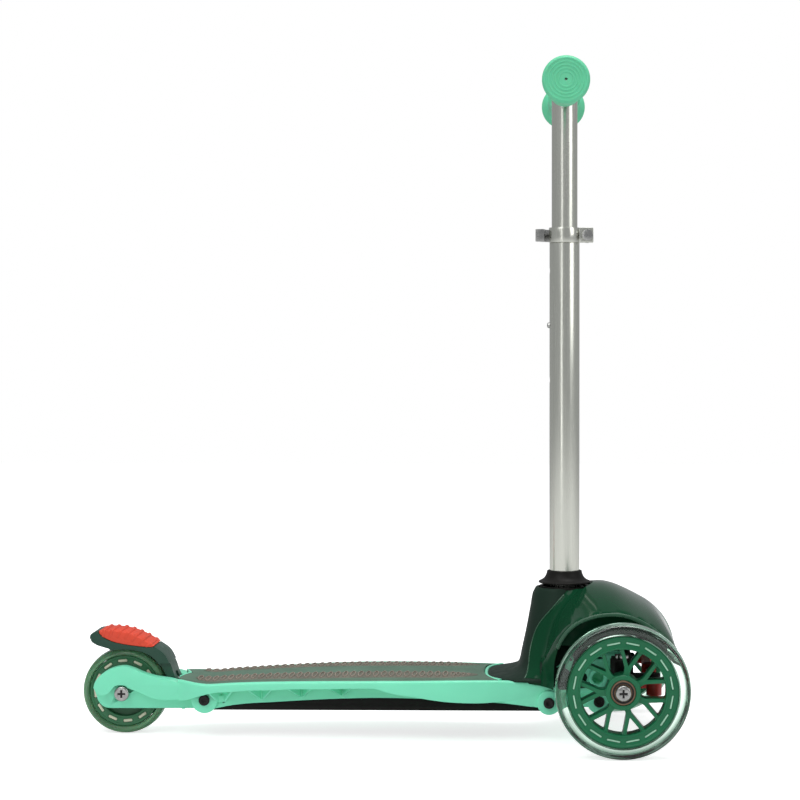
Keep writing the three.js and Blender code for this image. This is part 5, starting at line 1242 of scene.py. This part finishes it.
def shell_ring(x, grow, bottom):
    """The shell's outside across the cowl, where neck and hood run into each other in a soft hollow."""
    soft = 9
    side = []
    for degrees in stations(0, 90, 2.5):
        turn = math.radians(degrees)
        neck, hood = reach_of(in_neck, x, turn) + 0.7, reach_of(in_hood, x, turn)
        near = max(soft - abs(neck - hood), 0) / soft
        reach = max(neck, hood) + near**2 * soft / 4 + grow
        side.append((reach * math.cos(turn), HOOD["middle"] + reach * math.sin(turn)))
    side = [(side[0][0], bottom), (side[0][0], 56)] + side
    return [(x, -y, z) for y, z in side] + [(x, y, z) for y, z in reversed(side[:-1])]


def arch_points(grow, low, high):
    """Points along the wheel arch, grown outwards, from one angle to another."""
    middle = (ARCH["x"], ARCH["z"])
    return [bow_of(middle, ARCH["radius"] * height_at(ARCH_SHARES, angle) + grow, [angle])[0]
            for angle in stations(low, high, 3)]


def arch_band(name, low, high, inner, outer, near, far):
    """A curved strip along the wheel arch, between two distances from the arch and two from the middle."""
    rings = []
    inside, outside = arch_points(inner, low, high), arch_points(outer, low, high)
    for (ax, az), (bx, bz) in zip(inside, outside):
        rings.append([(ax, near, az), (ax, far, az), (bx, far, bz), (bx, near, bz)])
    return lofted(name, rings)


def cowl_shell():
    """The glossy shell over both front wheels, from the crease beside the neck to the nose."""
    end, wall = HOOD["rear"] + HOOD["length"], 2.4
    places = stations(124, end - 3, 2.2) + [end - 1.2, end]
    shell = lofted("cowl_shell", [shell_ring(x, 0, COWL["bottom"]) for x in places])
    crease = [(100, 160), (100, 30), (126, 30)] + curved(CREASE, 5) + [(180, 160)]
    tools = [lofted("inside", [shell_ring(x, -wall, 30) for x in stations(122, end - wall, 4)]),
             slab("crease_tool", crease, -130, 130)]
    for low, high in ((-125, -ARCH["inner"]), (ARCH["inner"], 125)):
        outline = [(ARCH["x"] + ARCH["radius"], 0)] + arch_points(0, 0, 180) + [(ARCH["x"] - ARCH["radius"], 0)]
        tools.append(slab("arch_tool", outline, low, high))
    pocket = [(STEER + 26.5 * math.cos(TURN * i / 64), 33 * math.sin(TURN * i / 64)) for i in range(64)]
    tools += [slab("pocket", pocket, COWL["top"], 160, "Z"), rod("throat", 21, (STEER, 0, 40), (STEER, 0, 150), 96),
              deck_space(), skirt_space()]
    return smoothed(cut(shell, *tools, solver="MANIFOLD"), math.radians(35))


def on_shell(x, z):
    """How far the shell reaches to the side at a place along X and a height."""
    side = [(height, -y) for _, y, height in shell_ring(x, 0, COWL["bottom"])[:39]]
    for (low, near), (high, far) in zip(side, side[1:]):
        if low <= z <= high and high > low:
            return near + (far - near) * (z - low) / (high - low)
    return side[0][1]


def crease_bead():
    """The thin raised edge along the crease between shell and neck."""
    places = [(x + 0.4, z) for x, z in curved(CREASE, 5) if 54.5 <= z <= 133]
    path = [(x, -on_shell(x, z), z) for x, z in places]
    rings = []
    for index, middle in enumerate(path):
        before, after = path[max(index - 1, 0)], path[min(index + 1, len(path) - 1)]
        ahead = Vector(after) - Vector(before)
        across = ahead.cross(Vector((0, 1, 0))).normalized()
        out = across.cross(ahead).normalized()
        rings.append([tuple(Vector(middle) + 0.6 * (across * math.cos(TURN * i / 8) + out * math.sin(TURN * i / 8)))
                      for i in range(8)])
    return lofted("crease_bead", rings)


def cowl_trim():
    """The lips of the arches, the wheel houses behind them, and a black ring at the neck's top that fills the gap
    under the collar as painted shade.
    """
    band = arch_band("house", 30, 152, 0.6, 2.6, -92, -57)
    side = slab("house_wall", arch_points(1, 30, 152), -58, -56.4)
    houses = [band, side, other_side(band, "far"), other_side(side, "far")]
    lip = softened(arch_band("lip", 34, 150, -0.1, 3.2, -97.3, -93.5), 0.9, 3, 50)
    far_lip = other_side(lip, "far")
    bead = crease_bead()
    lips = [lip, far_lip, bead, other_side(bead, "far")]
    # painted shade: a black ring that fills the gap between the neck's top and the collar
    seat = turned("seat", [(20.6, 136.4), (23.4, 136.4), (23.4, 138.6), (20.6, 138.6)], (STEER, 0, 0), "Z")
    return gathered("wheel_houses", houses), smoothed(gathered("arch_lips", lips), math.radians(40)), seat


# Pieces taken over from the solids, with their edges softened

def carried(node, finish, slot, body, width=0.5):
    """A copy of a solid whose triangles are merged into faces and whose edges are rounded."""
    alone(nodes[node])
    bpy.ops.object.duplicate()
    piece = bpy.context.object
    piece.name = piece.data.name = node + "_piece"
    bpy.ops.object.transform_apply(location=True, rotation=True, scale=True)
    editing(piece)
    bpy.ops.mesh.remove_doubles(threshold=MERGE)
    bpy.ops.mesh.dissolve_limited(angle_limit=math.radians(0.5))
    closing()
    smoothed(softened(piece, width, angle=38), math.radians(38))
    dressed(piece, finish, slot, body, node)


def set_up(camera_place, turn, tilt, lens, shift):
    """The camera at the photograph's place."""
    bpy.ops.object.camera_add(location=camera_place, rotation=(math.radians(90 - tilt), 0, math.radians(turn)))
    camera = bpy.context.object
    camera.name = "camera"
    camera.data.lens = lens
    camera.data.sensor_width = 36
    camera.data.shift_x, camera.data.shift_y = shift
    camera.data.clip_end = 50
    camera.data.dof.use_dof = False
    scene.camera = camera


def lamp(name, place, target, width, height, power):
    """A softbox at a place, turned towards a target."""
    bpy.ops.object.light_add(type="AREA", location=place)
    light = bpy.context.object
    light.name = name
    light.data.shape = "RECTANGLE"
    light.data.size, light.data.size_y = width, height
    light.data.energy = power
    x, y, z = (b - a for a, b in zip(place, target))
    light.rotation_euler = (math.atan2(math.hypot(x, y), -z), 0, math.atan2(x, -y) + math.pi)


def seen_directly(tree):
    """1 for rays from the camera or through glass."""
    path = tree.nodes.new("ShaderNodeLightPath")
    either = tree.nodes.new("ShaderNodeMath")
    either.operation = "MAXIMUM"
    for socket, rays in zip(either.inputs, ("Is Camera Ray", "Is Transmission Ray")):
        tree.links.new(path.outputs[rays], socket)
    return either.outputs[0]


def studio():
    """The air and the lamps of the studio, and a pale floor that shines where the camera sees it."""
    world = bpy.data.worlds.new("studio_air")
    scene.world = world
    world.use_nodes = True
    tree = world.node_tree
    make, link = tree.nodes.new, tree.links.new
    tree.nodes.clear()
    mix = make("ShaderNodeMixShader")
    soft = with_values(make("ShaderNodeBackground"), Color=(0.96, 0.98, 1, 1), Strength=0.42)
    white = with_values(make("ShaderNodeBackground"), Color=(1, 1, 1, 1), Strength=1.0)
    link(seen_directly(tree), mix.inputs["Fac"])
    link(soft.outputs[0], mix.inputs[1])
    link(white.outputs[0], mix.inputs[2])
    link(mix.outputs[0], make("ShaderNodeOutputWorld").inputs["Surface"])

    lamp("main_softbox", (-0.9, -1.6, 1.9), (0.05, 0, 0.2), width=1.4, height=1.0, power=15.5)
    lamp("left_strip", (-0.55, -1.75, 0.45), (0.17, 0, 0.4), width=0.25, height=1.3, power=1.8)
    lamp("top_softbox", (0.25, -0.2, 2.2), (0.1, 0, 0.1), width=1.6, height=1.2, power=28)
    lamp("right_softbox", (1.9, -1.1, 1.1), (0.1, 0, 0.25), width=1.0, height=1.2, power=8)

    bpy.ops.object.select_all(action="DESELECT")
    bpy.ops.mesh.primitive_plane_add(size=8, location=(0, 0, 0))
    floor = started("floor")
    material = bpy.data.materials.new("pale_floor")
    material.use_nodes = True
    tree = material.node_tree
    make, link = tree.nodes.new, tree.links.new
    shader = tree.nodes["Principled BSDF"]
    with_values(shader, Base_Color=(0.86, 0.86, 0.86, 1), Roughness=0.7, Specular_IOR_Level=0.2)
    glow = with_values(make("ShaderNodeEmission"), Color=(1, 1, 1, 1))
    lift = make("ShaderNodeMath")
    lift.operation = "MULTIPLY"
    lift.inputs[1].default_value = 0.7
    link(seen_directly(tree), lift.inputs[0])
    link(lift.outputs[0], glow.inputs["Strength"])
    both = make("ShaderNodeAddShader")
    link(shader.outputs[0], both.inputs[0])
    link(glow.outputs[0], both.inputs[1])
    link(both.outputs[0], tree.nodes["Material Output"].inputs["Surface"])
    floor.data.materials.append(material)


scene.view_settings.view_transform = "Standard"
set_up((0.1485, -2.0340, 0.3789), turn=1.191, tilt=0.629, lens=97.99, shift=(-0.12, -0.06))
studio()
front_wheels()
rear_wheel()
steering_tubes()
handlebar()
collar()
lug_screws()

dressed(deck_frame(), mint, "mint_plastic", "deck", "deck_frame")
dressed(cowl_shell(), gloss_green, "dark_green_plastic", "deck", "cowl")
dressed(cowl_neck(), satin_green, "dark_green_plastic", "deck")
houses, lips, seat = cowl_trim()
dressed(houses, gloss_green, "dark_green_plastic", "deck")
# the arch lips and crease bead carry the painted highlight green
dressed(lips, edge_highlight_green, "dark_green_plastic", "deck")
# painted shade under the collar
dressed(seat, black, "black_plastic", "deck")
dressed(deck_mat(), mat_rubber, "mat_rubber", "deck", "deck_mat")
for side, label in ((-1, "right"), (1, "left")):
    dressed(loop_strip(label + "_loop_strip", side), strip_rubber, "mat_rubber", "deck")
    dressed(mat_loops(label + "_mat_loops", side), stud_rubber, "mat_rubber", "deck")
dressed(fender(), fender_green, "dark_green_plastic", "brake", "brake_fender")
dressed(pad(), orange, "orange_rubber", "brake", "brake_pad")
carried("underdeck_beam", black, "black_plastic", "deck", 0.5)
carried("front_carrier", mint, "mint_plastic", "deck", 0.6)
carried("steering_stem", steel, "plain_steel", "tbar", 0.4)
carried("axle_beam", black, "black_plastic", "deck", 0.6)
carried("tie_rod", red, "red_plastic", "track_rod", 0.5)
carried("steering_rocker", red, "red_plastic", "rocker", 0.5)
carried("clamp_band", tube_metal, "tube_aluminium", "tbar", 0.2)
carried("clamp_bolt", zinc, "bright_zinc", "tbar", 0.25)
carried("clamp_lever", zinc, "bright_zinc", "clamp", 0.4)
for label, letter in (("left", "l"), ("right", "r")):
    carried(f"knuckle_{label}", black, "black_plastic", f"knuckle_{letter}", 0.5)
    carried(f"kingpin_{label}", zinc, "bright_zinc", "deck", 0.3)
    carried(f"return_rubber_{label}", black_rubber, "black_rubber", "deck", 0.8)
    carried(f"axle_beam_bolt_{label}", black_steel, "black_steel", "deck", 0.2)

# Small pieces whose solids stay as they are
for node, finish in (
    ("front_left_wheel_bearing_spacer", steel),
    ("front_right_wheel_bearing_spacer", steel),
    ("rear_wheel_bearing_spacer", steel),
    ("rear_axle_nut", zinc),
    ("brake_pivot_pin", zinc),
    ("brake_return_spring", steel),
    ("snap_spring", steel),
    ("clamp_cam_pin", zinc),
    ("rocker_pin", zinc),
):
    piece = nodes[node]
    if piece.material_slots:
        for holder in piece.material_slots:
            holder.material = finish
    else:
        piece.data.materials.append(finish)
